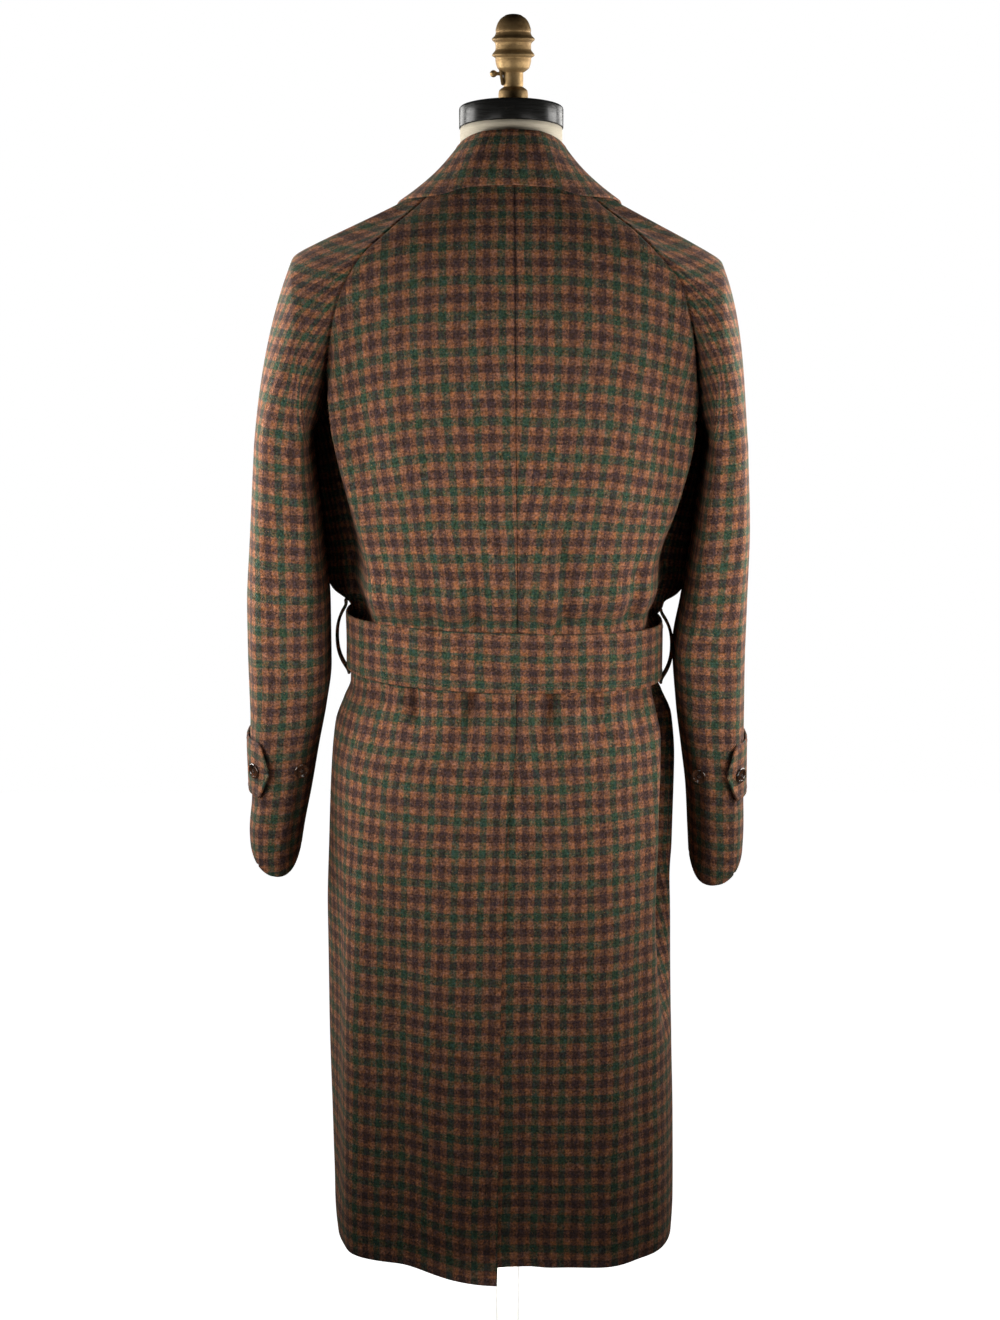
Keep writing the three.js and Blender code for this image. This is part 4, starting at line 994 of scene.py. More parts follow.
    def on_arm(self, side: Side, turn: Array, z: Array, lift: Array) -> tuple[Array, Array]:
        """Points lifted off a hanging sleeve, and their outward normals."""
        around = self.arm(side, turn + 0.02, z) - self.arm(side, turn - 0.02, z)
        upward = self.arm(side, turn, z + 3) - self.arm(side, turn, z - 3)
        normal = unit(np.cross(around, upward)) * -side.value
        return self.arm(side, turn, z) + normal * np.asarray(lift)[..., None], normal

    def rise(self, turn: Array, z: Array) -> Array:
        """How far the folds and the back seam lift or sink the cloth."""
        around = np.asarray(turn) / (2 * np.pi) * self.round_mm
        return relief(self.folds, around, z) + self.back_seam.height(around, z)

    def _seam_loop(self, side: Side, share: Array) -> Array:
        """The raglan seam from the underarm up the back, over the neck and down the front."""
        form = self.form
        knots = (form.underarm, *self.seam_knots)
        last = len(knots) - 1
        whole = 2 * last + 2
        place = share * whole
        back_z, front_z = (np.interp(at, np.arange(last + 1), knots)
                           for at in (place, whole - place))
        front_level = front_z - 10 * np.clip((front_z - 1545) / 23, 0, 1)
        sides = []
        for z, level, on_front in ((back_z, back_z, False), (front_z, front_level, True)):
            rows, angle = z[:, None], form.outer_angle(z, side, on_front)
            points = form.point(angle, level)
            points += form.normal(angle, level) * form.fullness(side, angle, level)[:, None]
            sides.append(points)
            arc = side.value * form.arc(angle[:, None], rows)[:, 0]
            if on_front:
                seam = form.arc(np.full(rows.shape, side.value * np.pi / 2), rows)[:, 0]
                form.fold_front(side, points, arc - side.value * seam)
            else:
                form.fold_back(side, points, arc)
        back, front = sides
        under = 1.2 * side.value * np.clip(1 - np.minimum(place, whole - place), 0, 1)
        back[:, 0] += under
        front[:, 0] += under
        neck = np.array([side.value * 79 + NECK_X / 2, 0.0, self.neck_side[side]])
        over, down = smooth(place - last)[:, None], smooth(place - last - 1)[:, None]
        crown = back * (1 - over) + neck * over
        return np.where(place[:, None] <= last + 1, crown, neck * (1 - down) + front * down)

    def _grid(self, side: Side) -> tuple[Array, Array]:
        """The whole sleeve as rows from the raglan seam down to the cuff."""
        half = seam_steps(self.half_round, self.pitch)
        share = np.concatenate([half / 2, 0.5 + half[1:] / 2])[:-1]
        turn = share * 2 * np.pi
        start = self._seam_loop(side, share)
        out_x, out_z, in_x, in_z, depth = self.shoulders[side]
        c, s = np.cos(turn), np.sin(turn)
        bow = 2 / np.where(s >= 0, np.where(c >= 0, 3.6, 2.3), 2.0)
        top = ((1 - signed_power(c, bow)) / 2)[:, None]
        mid = np.concatenate([side.value * (in_x + (out_x - in_x) * top),
                              depth * signed_power(s, bow)[:, None],
                              in_z + (out_z - in_z) * top], 1)
        over = unit(np.concatenate([side.value * (0.12 + 0.3 * top),
                                    np.zeros_like(top), -np.ones_like(top)], 1))
        steep = self.seam_steepness
        slope = steep + (self.shoulder_slope - steep) * smooth(top * 1.4)
        flat = mid - start
        flat[:, 2] = 0
        away = unit(flat) * np.cos(slope)
        away[:, 2] -= np.sin(slope)[:, 0]
        reach = np.linalg.norm(mid - start, axis=1, keepdims=True)

        def hermite(a: Array, a_way: Array, b: Array, b_way: Array, t: float) -> Array:
            """A place on smooth curves that leave a along a_way and reach b along b_way."""
            t2, t3 = t * t, t * t * t
            return (a * (2 * t3 - 3 * t2 + 1) + a_way * (t3 - 2 * t2 + t)
                    + b * (3 * t2 - 2 * t3) + b_way * (t3 - t2))

        upper = [hermite(start, away * reach, mid, over * reach * 0.25, t)
                 for t in np.concatenate([self.seam_close, np.linspace(0.08, 1, 24)[:-1]])]
        arm_start = self.arm(side, turn, np.full(turn.shape, self.arm_top))
        drop = np.linalg.norm(arm_start - mid, axis=1, keepdims=True)
        down = np.array([side.value * 0.1, 0.0, -1.0])
        lower = [hermite(mid, over * drop, arm_start, down * drop, t)
                 for t in np.linspace(0, 1, 24)[:-1]]
        cuff = self.cuff[side] - self.cuff_slant * np.sin(turn + self.cuff_turn)
        shares = np.concatenate([np.linspace(0, 1, 104)[:-1], [0.994, 0.9975, 1.0]])
        arm = [self.arm(side, turn, self.arm_top + (cuff - self.arm_top) * t) for t in shares]
        return np.stack(upper + lower + arm), share

    def _outward(self, side: Side, points: Array, share: Array) -> Array:
        """Normals that point out of the sleeve, eased into the body's at the raglan seam."""
        normal = grid_normals(points, closed=True)
        away = -np.cos(share * 2 * np.pi) * side.value
        if np.mean(normal[-20, :, 0] * away) < 0:
            normal = -normal
        seam = points[0]
        level = np.minimum(seam[:, 2], 1560)
        angle = np.where(share <= 0.5, self.form.angle_at(seam[:, 0], level, False),
                         self.form.angle_at(seam[:, 0], level, True))
        guide = self.form.normal(angle, level)
        sewn_flat = smooth((seam[:, 2] - self.form.underarm - 10) / 60)[:, None]
        blend = sewn_flat[None] * np.exp(-np.arange(12) / 3.0)[:, None, None]
        normal[:12] = unit(normal[:12] * (1 - blend) + guide[None] * blend)
        return normal

    def build(self, side: Side) -> list[Cloth]:
        """Builds a sleeve's back and front halves."""
        points, share = self._grid(side)
        normal = self._outward(side, points, share)
        around = np.broadcast_to(share * self.round_mm, points.shape[:2])
        height = points[..., 2]
        eased = smooth(np.arange(len(points)) / 9.0)[:, None]
        proud = relief(self.folds, around, height) * eased + self.back_seam.height(around, height)
        points = points + normal * proud[..., None]
        normal = self._outward(side, points, share)
        x, z = points[..., 0], points[..., 2]
        level = z - self.check_rows("rise", z) * (np.abs(x) - 215)
        along = self.check_rows("row", level) * REPEAT_ALONG + self._over_shoulder(points)
        check = pair(self._around(points), along)
        half = int(np.argmin(np.abs(share - 0.5)))
        pieces = []
        for word, columns in (("back", np.arange(half + 1)),
                              ("front", np.concatenate([np.arange(half, len(share)), [0]]))):
            part = check[:, columns].copy()
            if word == "front":
                part[:, -1, 0] = part[:, -2, 0] + 1.0
            cloth = ClothGrid(points[:, columns], part, normal[:, columns])
            cloth.roll_in(first=True, last=True, bottom=True)
            pieces.append(cloth.mesh(f"cloth_sleeve_{side.word}_{word}"))
        return pieces

    @staticmethod
    def _over_shoulder(points: Array) -> Array:
        """Extra length up the cap, where the cloth lies flatter than the arm."""
        step = np.diff(points[:CAP_ROWS], axis=0)
        extra = np.maximum(np.linalg.norm(step, axis=2) - np.abs(step[..., 2]), 0)
        climbed = np.cumsum(extra[::-1], axis=0)[::-1]
        return np.pad(climbed, ((0, len(points) - len(climbed)), (0, 0)))

    @staticmethod
    def _around(points: Array) -> Array:
        """Distance round each row, level at the back of the sleeve."""
        run = travelled(points, 1)
        return run - run[:, run.shape[1] // 4][:, None]

    def tab_rise(self, turns: Array, v: Array) -> Array:
        """How far the tab's face stands off the sleeve; v runs across it from -1 to 1."""
        curl = self.tip_curl * (1 - smooth((turns - self.tab_turns[0]) / self.curl_reach))
        return self.tab_lift + CLOTH + curl * (0.45 + 0.55 * v ** 2)

    def tab(self, side: Side) -> Cloth:
        """Builds the pointed tab that buttons behind the cuff."""
        turns = np.linspace(*self.tab_turns, 100)
        half = self.tab_half * self.tab_point("half", turns)[None, :]
        v = np.linspace(-1, 1, 21)[:, None]
        z = self.tab_height[side] + v * half
        lift = self.tab_rise(turns[None, :], v)
        points, normal = self.on_arm(side, np.radians(turns)[None, :] + 0 * z, z, lift)
        check = pair(z, travelled(points[10]))
        outward = agreeing(grid_normals(points), normal)
        return ClothGrid(points, check, outward).mesh(f"cloth_tab_{side.word}")


@dataclass
class Collar:
    """The turned-down collar: a leaf that rolls over the top of its stand."""

    reach: float = 150.0
    belly_back: float = 3.0
    belly_side: float = -1.5
    line: Table = table(
        "fold_x fold_y fold_z edge_x edge_y edge_z foot_x foot_y foot_z",
        (0, 0, 63, 1613, 0, 80, 1564, 0, 61.5, 1568.8),
        (25, 26, 57.5, 1611.5, 38, 77, 1562, 29, 56, 1568.8),
        (50, 45, 42, 1606, 74, 66, 1554, 53, 43, 1568.6),
        (75, 56, 18, 1598, 100, 42, 1551.5, 74, 19, 1566),
        (100, 58.5, -12, 1588, 112, 4, 1547, 77, -12, 1561),
        (125, 59.5, -42, 1572, 117, -44, 1538, 72, -38, 1558.5),
        (150, 61, -69, 1554, 107, -79, 1526.5, 61, -61, 1551.5))

    def _line_at(self, name: str, turn: Array) -> Array:
        """One of the collar's lines at signed angles round the neck."""
        side = np.sign(turn)
        x, y, z = (self.line(f"{name}_{axis}", np.abs(turn)) for axis in "xyz")
        shift = NECK_X * (0.4 if name == "edge" else 1.0)
        return np.stack([shift + side * x, y, z], -1)

    @staticmethod
    def _outward(points: Array, turn: Array) -> Array:
        """Normals that point away from the neck."""
        return agreeing(grid_normals(points), level_way(turn, 0.3)[None])

    def leaf(self) -> Cloth:
        """Builds the leaf, from its roll over the stand to its outer edge."""
        degrees = np.linspace(-self.reach, self.reach, 150)
        turn = np.radians(degrees)
        fold, edge = self._line_at("fold", degrees), self._line_at("edge", degrees)
        out, level = unit(level_way(turn, 0.3)), level_way(turn)
        belly = self.belly_back + (self.belly_side - self.belly_back) * smooth(
            np.abs(degrees) / 80)[:, None]
        rows = [fold - level * 1.9 * (1 - math.cos(a)) + np.array([0, 0, 1.9 * math.sin(a)])
                for a in np.radians([172, 140, 110, 80, 50, 22])]
        wave = np.sin(np.radians(degrees * 3.1 + 40))[:, None] * 0.8
        for w in np.concatenate([np.linspace(0, 0.96, 26), [0.985, 1.0]]):
            bow = belly * 4 * w * (1 - w) + wave * w
            rows.append(fold + (edge - fold) * w + out * bow)
        points = np.stack(rows)
        run = travelled(points[len(rows) // 2])
        run -= run[len(run) // 2]
        check = pair(run + 14, 13 - travelled(points))
        return ClothGrid(points, check, self._outward(points, turn)).mesh("cloth_collar_leaf")

    def stand(self) -> Cloth:
        """Builds the stand, from the neckline up to just inside the leaf's roll."""
        degrees = np.linspace(-self.reach, self.reach, 150)
        turn = np.radians(degrees)
        fold, foot = self._line_at("fold", degrees), self._line_at("foot", degrees)
        top = fold - level_way(turn) * (CLOTH + LAYER_GAP)
        top[:, 2] = np.maximum(top[:, 2] - 2, foot[:, 2] + 2)
        points = np.stack([foot + (top - foot) * w for w in steps(14)])
        check = pair(travelled(foot), np.linalg.norm(points - points[:1], axis=2))
        return ClothGrid(points, check, self._outward(points, turn)).mesh("cloth_collar_stand")


@dataclass
class Belt:
    """The belt round the waist, its free end, its slide buckle and its two carriers."""

    form: CoatForm
    width: float = 60.0
    wall: float = 3.0
    height: float = 1086.0         # mean height of the belt's centre line
    seat: float = 1.8              # slack between the belt and the gathered cloth
    check_shift: float = 23.0      # of the check, across the belt
    end_start: float = -14.0       # the free end's start and tip, by x
    end_tip: float = 138.0
    bar: float = 3.0
    buckle_half: float = 34.0      # half the buckle's width
    buckle_depth: float = 9.4
    buckle_limb: float = 6.0
    loop_width: float = 9.0
    loop_reach: float = 40.0
    loop_bow: float = 15.0

    def centre(self, angle: Array) -> Array:
        """Height of the belt's centre line round the body."""
        return self.height + 5.5 * np.sin(angle) + 2 * np.cos(angle)

    def place(self, angle: Array, v: Array, lift: Array) -> tuple[Array, Array]:
        """Points on the belt's course, v above its centre, and their level normals."""
        angle, v, lift = np.broadcast_arrays(angle, v, lift)
        base = self.form.point(angle, np.full(angle.shape, self.height))
        normal = self.form.normal(angle, np.full(angle.shape, self.height))
        normal[..., 2] = 0
        normal = unit(normal)
        front = np.where(np.cos(angle) < 0, OVERLAP_RISE, 0.0)
        wrap = smooth((base[..., 0] + self.form.front_edge + 34) / 30)
        wrap = wrap * (1 - smooth((base[..., 0] - 100) / 30))
        points = base + normal * (self.seat + front * wrap + lift)[..., None]
        points[..., 2] = self.centre(angle) + v
        return points, normal

    def band(self) -> Cloth:
        """Builds the belt itself, a ring with slightly wavering edges."""
        angle = full_turn(360)[None, :]
        half = self.width / 2
        v = np.concatenate([[-half, -half + 0.9], np.linspace(-half + 3, half - 3, 19),
                            [half - 0.9, half]])[:, None]
        waver = 0.7 * np.sin(3 * angle + 0.6) + 0.5 * np.sin(7 * angle + 2.0)    # of its edges
        sag = 0.9 * np.sin(5 * angle + 1.0) * (v / half) ** 2
        lift = self.wall + sag - 0.5 * (np.abs(v) / half) ** 6
        points, normal = self.place(angle + 0 * v, v + waver * (v / half) * 0.6, lift)
        run = travelled(points[11])
        run = np.where(run > run[-1] / 2 + 60, run - run[-1] - 3.3, run)
        check = pair(v + self.check_shift, run + 5.0)
        cloth = ClothGrid(points, check, normal, closed=True, wall=self.wall)
        return cloth.mesh("cloth_belt")

    def free_end(self) -> Cloth:
        """Builds the belt's free end, over the buckle's bar and flat on the belt."""
        x = self.end_start + (self.end_tip - self.end_start) * steps(70)[None, :]
        v = np.linspace(-1, 1, 25)[:, None]
        half = (self.width / 2 - 1) * np.minimum(1, 0.2 + (self.end_tip - x) / 24)
        hump = (self.bar + LAYER_GAP) * (1 - smooth((np.abs(x) - 8) / 16))
        angle = self.form.angle_at(x, self.height, True) + 0 * v
        points, normal = self.place(angle, v * half, 2 * self.wall + LAYER_GAP + hump + 0 * v)
        check = pair(v * half + self.check_shift, x)
        return ClothGrid(points, check, normal, wall=self.wall - 0.4).mesh("cloth_belt_end")

    def buckle(self) -> Piece:
        """Builds the slide buckle: a rounded frame with a middle bar."""
        half_wide, half_high = self.buckle_half, self.width / 2 + 8
        depth, limb, post = self.buckle_depth, self.buckle_limb, 2 * half_high - 12.02
        seat, _ = self.place(np.array(np.pi), np.array(0.0), np.array(self.wall + 0.4))
        body = bmesh.new()

        def plate(x: float, z: float, wide: float, high: float, near: float, far: float) -> None:
            """Adds one limb of the frame, from near to far off the belt."""
            for vert in bmesh.ops.create_cube(body, size=1.0)["verts"]:
                deep = vert.co.y * (far - near) - (near + far) / 2
                vert.co = Vector((x + vert.co.x * wide, deep, z + vert.co.z * high))

        for sign in (-1, 1):
            plate(0, sign * (half_high - limb / 2), 2 * half_wide, limb, 0, depth)
            plate(sign * (half_wide - limb / 2), 0, limb, post, depth - self.bar, depth)
        plate(0, 0, limb + 1, post, 0, self.bar)
        bmesh.ops.bevel(body, geom=list(body.edges), offset=1.1, segments=3, profile=0.6,
                        affect="EDGES", clamp_overlap=True)
        for vert in body.verts:
            vert.co = (vert.co + Vector(seat)) * MM
        return finished("horn_buckle", body)

    def loop(self, side: Side) -> Cloth:
        """Builds a narrow carrier that stands off the belt in a bow."""
        angle = side.value * np.pi / 2
        middle = float(self.centre(np.array(angle)))
        v = np.linspace(-self.loop_reach, self.loop_reach, 61)
        reach = np.abs(self.form.point(np.array(angle), middle + v)[:, 0]) + 1.8
        stand = abs(float(self.form.point(np.array(angle), np.array(middle))[0]))
        bow = stand + self.loop_bow * (1 - np.abs(v / self.loop_reach) ** 2.4)
        x = np.maximum(reach, bow)
        x = np.convolve(np.pad(x, 3, mode="edge"), np.ones(7) / 7, mode="valid")
        course = np.stack([side.value * x, 0 * v, middle + v], -1)
        way = unit(np.gradient(course, axis=0))
        out = side.value * np.stack(
            [np.abs(way[:, 2]), 0 * v, -way[:, 0] * np.sign(way[:, 2])], -1)
        across = np.linspace(-self.loop_width / 2, self.loop_width / 2, 9)
        points = (course + out * 1.8)[:, None] + np.array([0, 1.0, 0]) * across[None, :, None]
        normal = np.repeat(unit(out)[:, None, :], len(across), axis=1)
        check = pair(across[None, :], v[:, None])
        return ClothGrid(points, check, normal, wall=3.2).mesh(f"cloth_belt_loop_{side.word}")


def lathe(name: str, profile: Profile, segments: int, frame: Matrix | None = None) -> Piece:
    """Turns a profile about +Z.

    Args:
        name: Name of the piece.
        profile: (radius, height) pairs that start and end on the axis.
        segments: Sides of the turning.
        frame: Where the turned piece then stands; its lengths are millimetres.

    Returns:
        The closed piece, in metres.
    """
    frame = frame or Matrix.Identity(4)
    body = bmesh.new()
    angles = [2 * math.pi * i / segments for i in range(segments)]
    rings: list[list[bmesh.types.BMVert]] = []
    for radius, height in profile:
        if radius < 1e-6:
            rings.append([body.verts.new(frame @ Vector((0, 0, height)))])
        else:
            rings.append([body.verts.new(frame @ Vector(
                (radius * math.cos(a), radius * math.sin(a), height))) for a in angles])
    for low, high in zip(rings[:-1], rings[1:]):
        for i in range(segments):
            j = (i + 1) % segments
            if len(low) == 1:
                body.faces.new((low[0], high[j], high[i]))
            elif len(high) == 1:
                body.faces.new((low[i], low[j], high[0]))
            else:
                body.faces.new((low[i], low[j], high[j], high[i]))
    for vert in body.verts:
        vert.co *= MM
    return finished(name, body)


def rounded(profile: Profile, radius: float, count: int = 4) -> Profile:
    """Rounds the inner corners of a profile.

    Args:
        profile: (radius, height) pairs.
        radius: How far each corner is cut back along its two lines.
        count: Lines in each rounded corner.

    Returns:
        The profile with its corners rounded.
    """
    done = [profile[0]]
    for before, corner, after in zip(profile[:-2], profile[1:-1], profile[2:]):
        here = np.array(corner)
        to_before, to_after = np.array(before) - here, np.array(after) - here
        reach = min(radius, np.linalg.norm(to_before) * 0.45, np.linalg.norm(to_after) * 0.45)
        start = here + to_before / np.linalg.norm(to_before) * reach
        stop = here + to_after / np.linalg.norm(to_after) * reach
        for t in np.linspace(0, 1, count + 1):
            done.append(tuple((1 - t) ** 2 * start + 2 * t * (1 - t) * here + t * t * stop))
    return done + [profile[-1]]


def carve(target: Piece, tool: Piece, operation: str) -> None:
    """Cuts or joins a tool into a target and throws the tool away."""
    change = target.modifiers.new("carve", "BOOLEAN")
    change.operation, change.object, change.solver = operation, tool, "EXACT"
    graph = bpy.context.evaluated_depsgraph_get()
    result = bpy.data.meshes.new_from_object(target.evaluated_get(graph))
    target.modifiers.remove(change)
    target.data = result
    bpy.data.objects.remove(tool)


def soften_edges(piece: Piece, degrees: float = 35.0) -> None:
    """Keeps a piece's sharp edges crisp and shades the rest smooth."""
    shade_smooth(piece.data)
    piece.data.set_sharp_from_angle(angle=math.radians(degrees))


def seated(points: Array, normal: Array, lift: float) -> Matrix:
    """The frame of a piece that stands on a surface, its +Z along the normal."""
    axis = Vector(normal)
    turn = Vector((0, 0, 1)).rotation_difference(axis).to_matrix().to_4x4()
    return Matrix.Translation(Vector(points) + axis * lift) @ turn


@dataclass
class Buttons:
    """Dished horn buttons with four holes, sewn on with crossed thread."""

    form: CoatForm
    sleeves: Sleeves
    front_radius: float = 14.0
    sleeve_radius: float = 8.6
    front_rows: tuple[float, ...] = (1282.0, 1166.0, 1000.0)
    front_reach: float = 68.0
    centre_x: float = -3.0
    button_lean: float = 0.5       # how far a loose button turns to face backwards
    button_shank: float = 2.2
    # Each sleeve's buttons: name, turn in degrees, height, whether on the tab.
    sleeve_places: dict[Side, tuple[tuple[str, float, float, bool], ...]] = each(
        (("tab_button_left", 124, 952, True), ("sleeve_button_left", 60, 953, False)),
        (("tab_button_right", 123, 947, True), ("sleeve_button_right", 63, 947, False)))

    @staticmethod
    def _proportions(radius: float) -> tuple[float, float, float]:
        """A button's height, the height of its dished face and its holes' offset."""
        height = radius * 0.26 + 0.8
        return height, height * 0.66, 0.13 * radius + 0.3

    def _blank(self, radius: float) -> Piece:
        """One button on its back at the origin, holes cut through."""
        height, face, spread = self._proportions(radius)
        rim, hole = radius * 0.17, 0.05 * radius + 0.35
        profile = rounded([
            (0, 0), (radius * 0.8, 0), (radius, height * 0.45), (radius - rim * 0.5, height),
            (radius - rim * 1.5, height), (radius - rim * 2.4, face), (0, face),
        ], radius * 0.09)
        blank = lathe("button_blank", profile, 40)
        for sx in (-1, 1):
            for sy in (-1, 1):
                bit = [(0, -2), (hole, -2), (hole, height + 2), (0, height + 2)]
                at = Matrix.Translation((sx * spread, sy * spread, 0))
                carve(blank, lathe("drill", bit, 14, at), "DIFFERENCE")
        soften_edges(blank, 40)
        return blank

    def _thread(self, radius: float) -> list[Array]:
        """Paths of the sewing thread over one button at the origin."""
        _, top, spread = self._proportions(radius)
        t = steps(8)
        run = spread * (2 * t - 1)
        arch = top + 0.35 + 0.7 * np.sin(np.pi * t) - 1.4 * np.abs(2 * t - 1) ** 6
        return [np.stack([run, slant * run, arch], -1) for slant in (1, -1)]

    def places(self) -> list[tuple[str, float, Matrix]]:
        """Every button's name, radius and seat."""
        seats = []
        for row, z in enumerate(self.front_rows):
            for side in Side:
                x = self.centre_x + side.value * self.front_reach
                angle = self.form.angle_at(x, z, True)
                normal = self.form.normal(angle, np.array(z))
                point = self.form.point(angle, np.array(z)) + normal * OVERLAP_RISE
                name = f"front_button_{side.word}_{row + 1}"
                seats.append((name, self.front_radius, seated(point, normal, 0.1)))
        for side, buttons in self.sleeve_places.items():
            for name, turn, z, on_tab in buttons:
                place = np.radians(turn), np.array(float(z))
                lift = self.sleeves.tab_lift + CLOTH if on_tab else self.sleeves.rise(*place)
                point, normal = self.sleeves.on_arm(side, *place, np.array(lift))
                lean, shank = (0.0, 0.6) if on_tab else (self.button_lean, self.button_shank)
                normal = unit(normal + np.array([0.0, lean, 0.0]))
                seats.append((name, self.sleeve_radius, seated(point, normal, shank)))
        return seats

    def build(self) -> tuple[list[Piece], Piece]:
        """Builds the buttons, and all their thread as one piece."""
        blanks = {r: self._blank(r) for r in (self.front_radius, self.sleeve_radius)}
        made, paths = [], []
        metres = Matrix.Scale(MM, 4)
        for name, radius, frame in self.places():
            mesh = blanks[radius].data.copy()
            mesh.transform(metres @ frame @ metres.inverted())
            made.append(put(f"horn_{name}", mesh))
            paths += [np.array([frame @ Vector(point) for point in path])
                      for path in self._thread(radius)]
        for blank in blanks.values():
            bpy.data.objects.remove(blank)
        return made, cords("button_thread", paths, 0.42)


def cords(name: str, paths: list[Array], radius: float, sides: int = 8) -> Piece:
    """Round thread along paths, as one closed mesh.

    Args:
        name: Name of the piece.
        paths: Each thread's points, in millimetres.
        radius: The thread's radius.
        sides: Sides of its section.

    Returns:
        The piece, in metres.
    """
    body = bmesh.new()
    turns = [2 * math.pi * k / sides for k in range(sides)]
    for path in paths:
        way = unit(np.gradient(path, axis=0))
        side = unit(np.cross(way, np.array([0.31, 0.17, 0.93])))
        up = np.cross(way, side)
        rings = [[body.verts.new(Vector(p + radius * (math.cos(a) * s + math.sin(a) * u)) * MM)
                  for a in turns] for p, s, u in zip(path, side, up)]
        for low, high in zip(rings[:-1], rings[1:]):
            for k in range(sides):
                body.faces.new((low[k], low[(k + 1) % sides], high[(k + 1) % sides], high[k]))
        body.faces.new(rings[0][::-1])
        body.faces.new(rings[-1])
    return finished(name, body)


@dataclass
class StitchRows:
    """Even stitches along lines on the cloth, laid by geometry nodes."""

    spacing: float = 3.4
    length: float = 2.3
    radius: float = 0.3

    @staticmethod
    def _tree(thread: Material) -> bpy.types.NodeTree:
        """The node tree that turns lines into rows of stitches."""
        tree = bpy.data.node_groups.new("stitch_rows", "GeometryNodeTree")
        face = tree.interface
        face.new_socket("Geometry", in_out="INPUT", socket_type="NodeSocketGeometry")
        for name in ("Spacing", "Length", "Radius"):
            face.new_socket(name, in_out="INPUT", socket_type="NodeSocketFloat")
        face.new_socket("Geometry", in_out="OUTPUT", socket_type="NodeSocketGeometry")
        make = tree.nodes.new
        source, sink = make("NodeGroupInput"), make("NodeGroupOutput")
        curve = make("GeometryNodeMeshToCurve")
        spread = make("GeometryNodeResampleCurve")
        spread.mode = "LENGTH"
        tangent = make("GeometryNodeInputTangent")
        align = make("FunctionNodeAlignRotationToVector")
        align.axis = "Z"
        grain = make("GeometryNodeMeshUVSphere")
        for name, value in (("Segments", 6), ("Rings", 4), ("Radius", 1.0)):
            grain.inputs[name].default_value = value
        size, shape = make("ShaderNodeCombineXYZ"), make("GeometryNodeTransform")
        half = make("ShaderNodeMath")
        half.operation = "MULTIPLY"
        half.inputs[1].default_value = 0.5
        place, real = make("GeometryNodeInstanceOnPoints"), make("GeometryNodeRealizeInstances")
        shade, dye = make("GeometryNodeSetShadeSmooth"), make("GeometryNodeSetMaterial")
        dye.inputs["Material"].default_value = thread
        for start, out, end, into in (
                (source, "Geometry", curve, "Mesh"), (curve, "Curve", spread, "Curve"),
                (source, "Spacing", spread, "Length"), (tangent, "Tangent", align, "Vector"),
                (source, "Length", half, 0), (source, "Radius", size, "X"),
                (source, "Radius", size, "Y"), (half, "Value", size, "Z"),
                (grain, "Mesh", shape, "Geometry"), (size, "Vector", shape, "Scale"),
                (spread, "Curve", place, "Points"), (shape, "Geometry", place, "Instance"),
                (align, "Rotation", place, "Rotation"), (place, "Instances", real, "Geometry"),
                (real, "Geometry", shade, "Geometry"), (shade, "Geometry", dye, "Geometry"),
                (dye, "Geometry", sink, "Geometry")):
            tree.links.new(start.outputs[out], end.inputs[into])
        return tree

    def build(self, name: str, lines: list[Array], thread: Material) -> Piece:
        """Lays stitches along the lines.

        Args:
            name: Name of the piece.
            lines: Points of each line, in millimetres.
            thread: Finish of the stitches.

        Returns:
            The stitches as one plain mesh.
        """
        points = np.concatenate(lines) * MM
        edges, start = [], 0
        for line in lines:
            edges += [(start + i, start + i + 1) for i in range(len(line) - 1)]
            start += len(line)
        mesh = bpy.data.meshes.new(f"{name}_lines")
        mesh.from_pydata(points.tolist(), edges, [])
        guide = put(f"{name}_lines", mesh)
        rows = guide.modifiers.new("rows", "NODES")
        rows.node_group = tree = self._tree(thread)
        sizes = {"Spacing": self.spacing, "Length": self.length, "Radius": self.radius}
        for item in tree.interface.items_tree:
            if item.in_out == "INPUT" and item.name in sizes:
                rows[item.identifier] = sizes[item.name] * MM
        graph = bpy.context.evaluated_depsgraph_get()
        done = bpy.data.meshes.new_from_object(guide.evaluated_get(graph))
        bpy.data.objects.remove(guide)
        return put(name, done)


@dataclass
class Topstitching:
    """Where the coat is topstitched: the belt and the sleeve tabs."""

    belt: Belt
    sleeves: Sleeves
    margin: float = 6.0
    tab_margin: float = 4.0

    def belt_lines(self) -> list[Array]:
        """Two rows round the belt, one beside each edge."""
        angle = np.linspace(0, 2 * np.pi, 481)
        reach = self.belt.width / 2 - self.margin
        return [self.belt.place(angle, np.array(v), np.array(self.belt.wall + 0.12))[0]
                for v in (-reach, reach)]

    def tab_lines(self, side: Side) -> list[Array]:
        """Rows along a tab's long edges, meeting at its tip."""
        turns = np.linspace(112, 232, 120)
        sleeves = self.sleeves
        spread = (sleeves.tab_half - self.tab_margin) * smooth((turns - 104) / 14) ** 0.5
        lift = sleeves.tab_rise(turns, spread / sleeves.tab_half) + 0.15
        height = sleeves.tab_height[side]
        return [sleeves.on_arm(side, np.radians(turns), height + v * spread, lift)[0]
                for v in (-1, 1)]


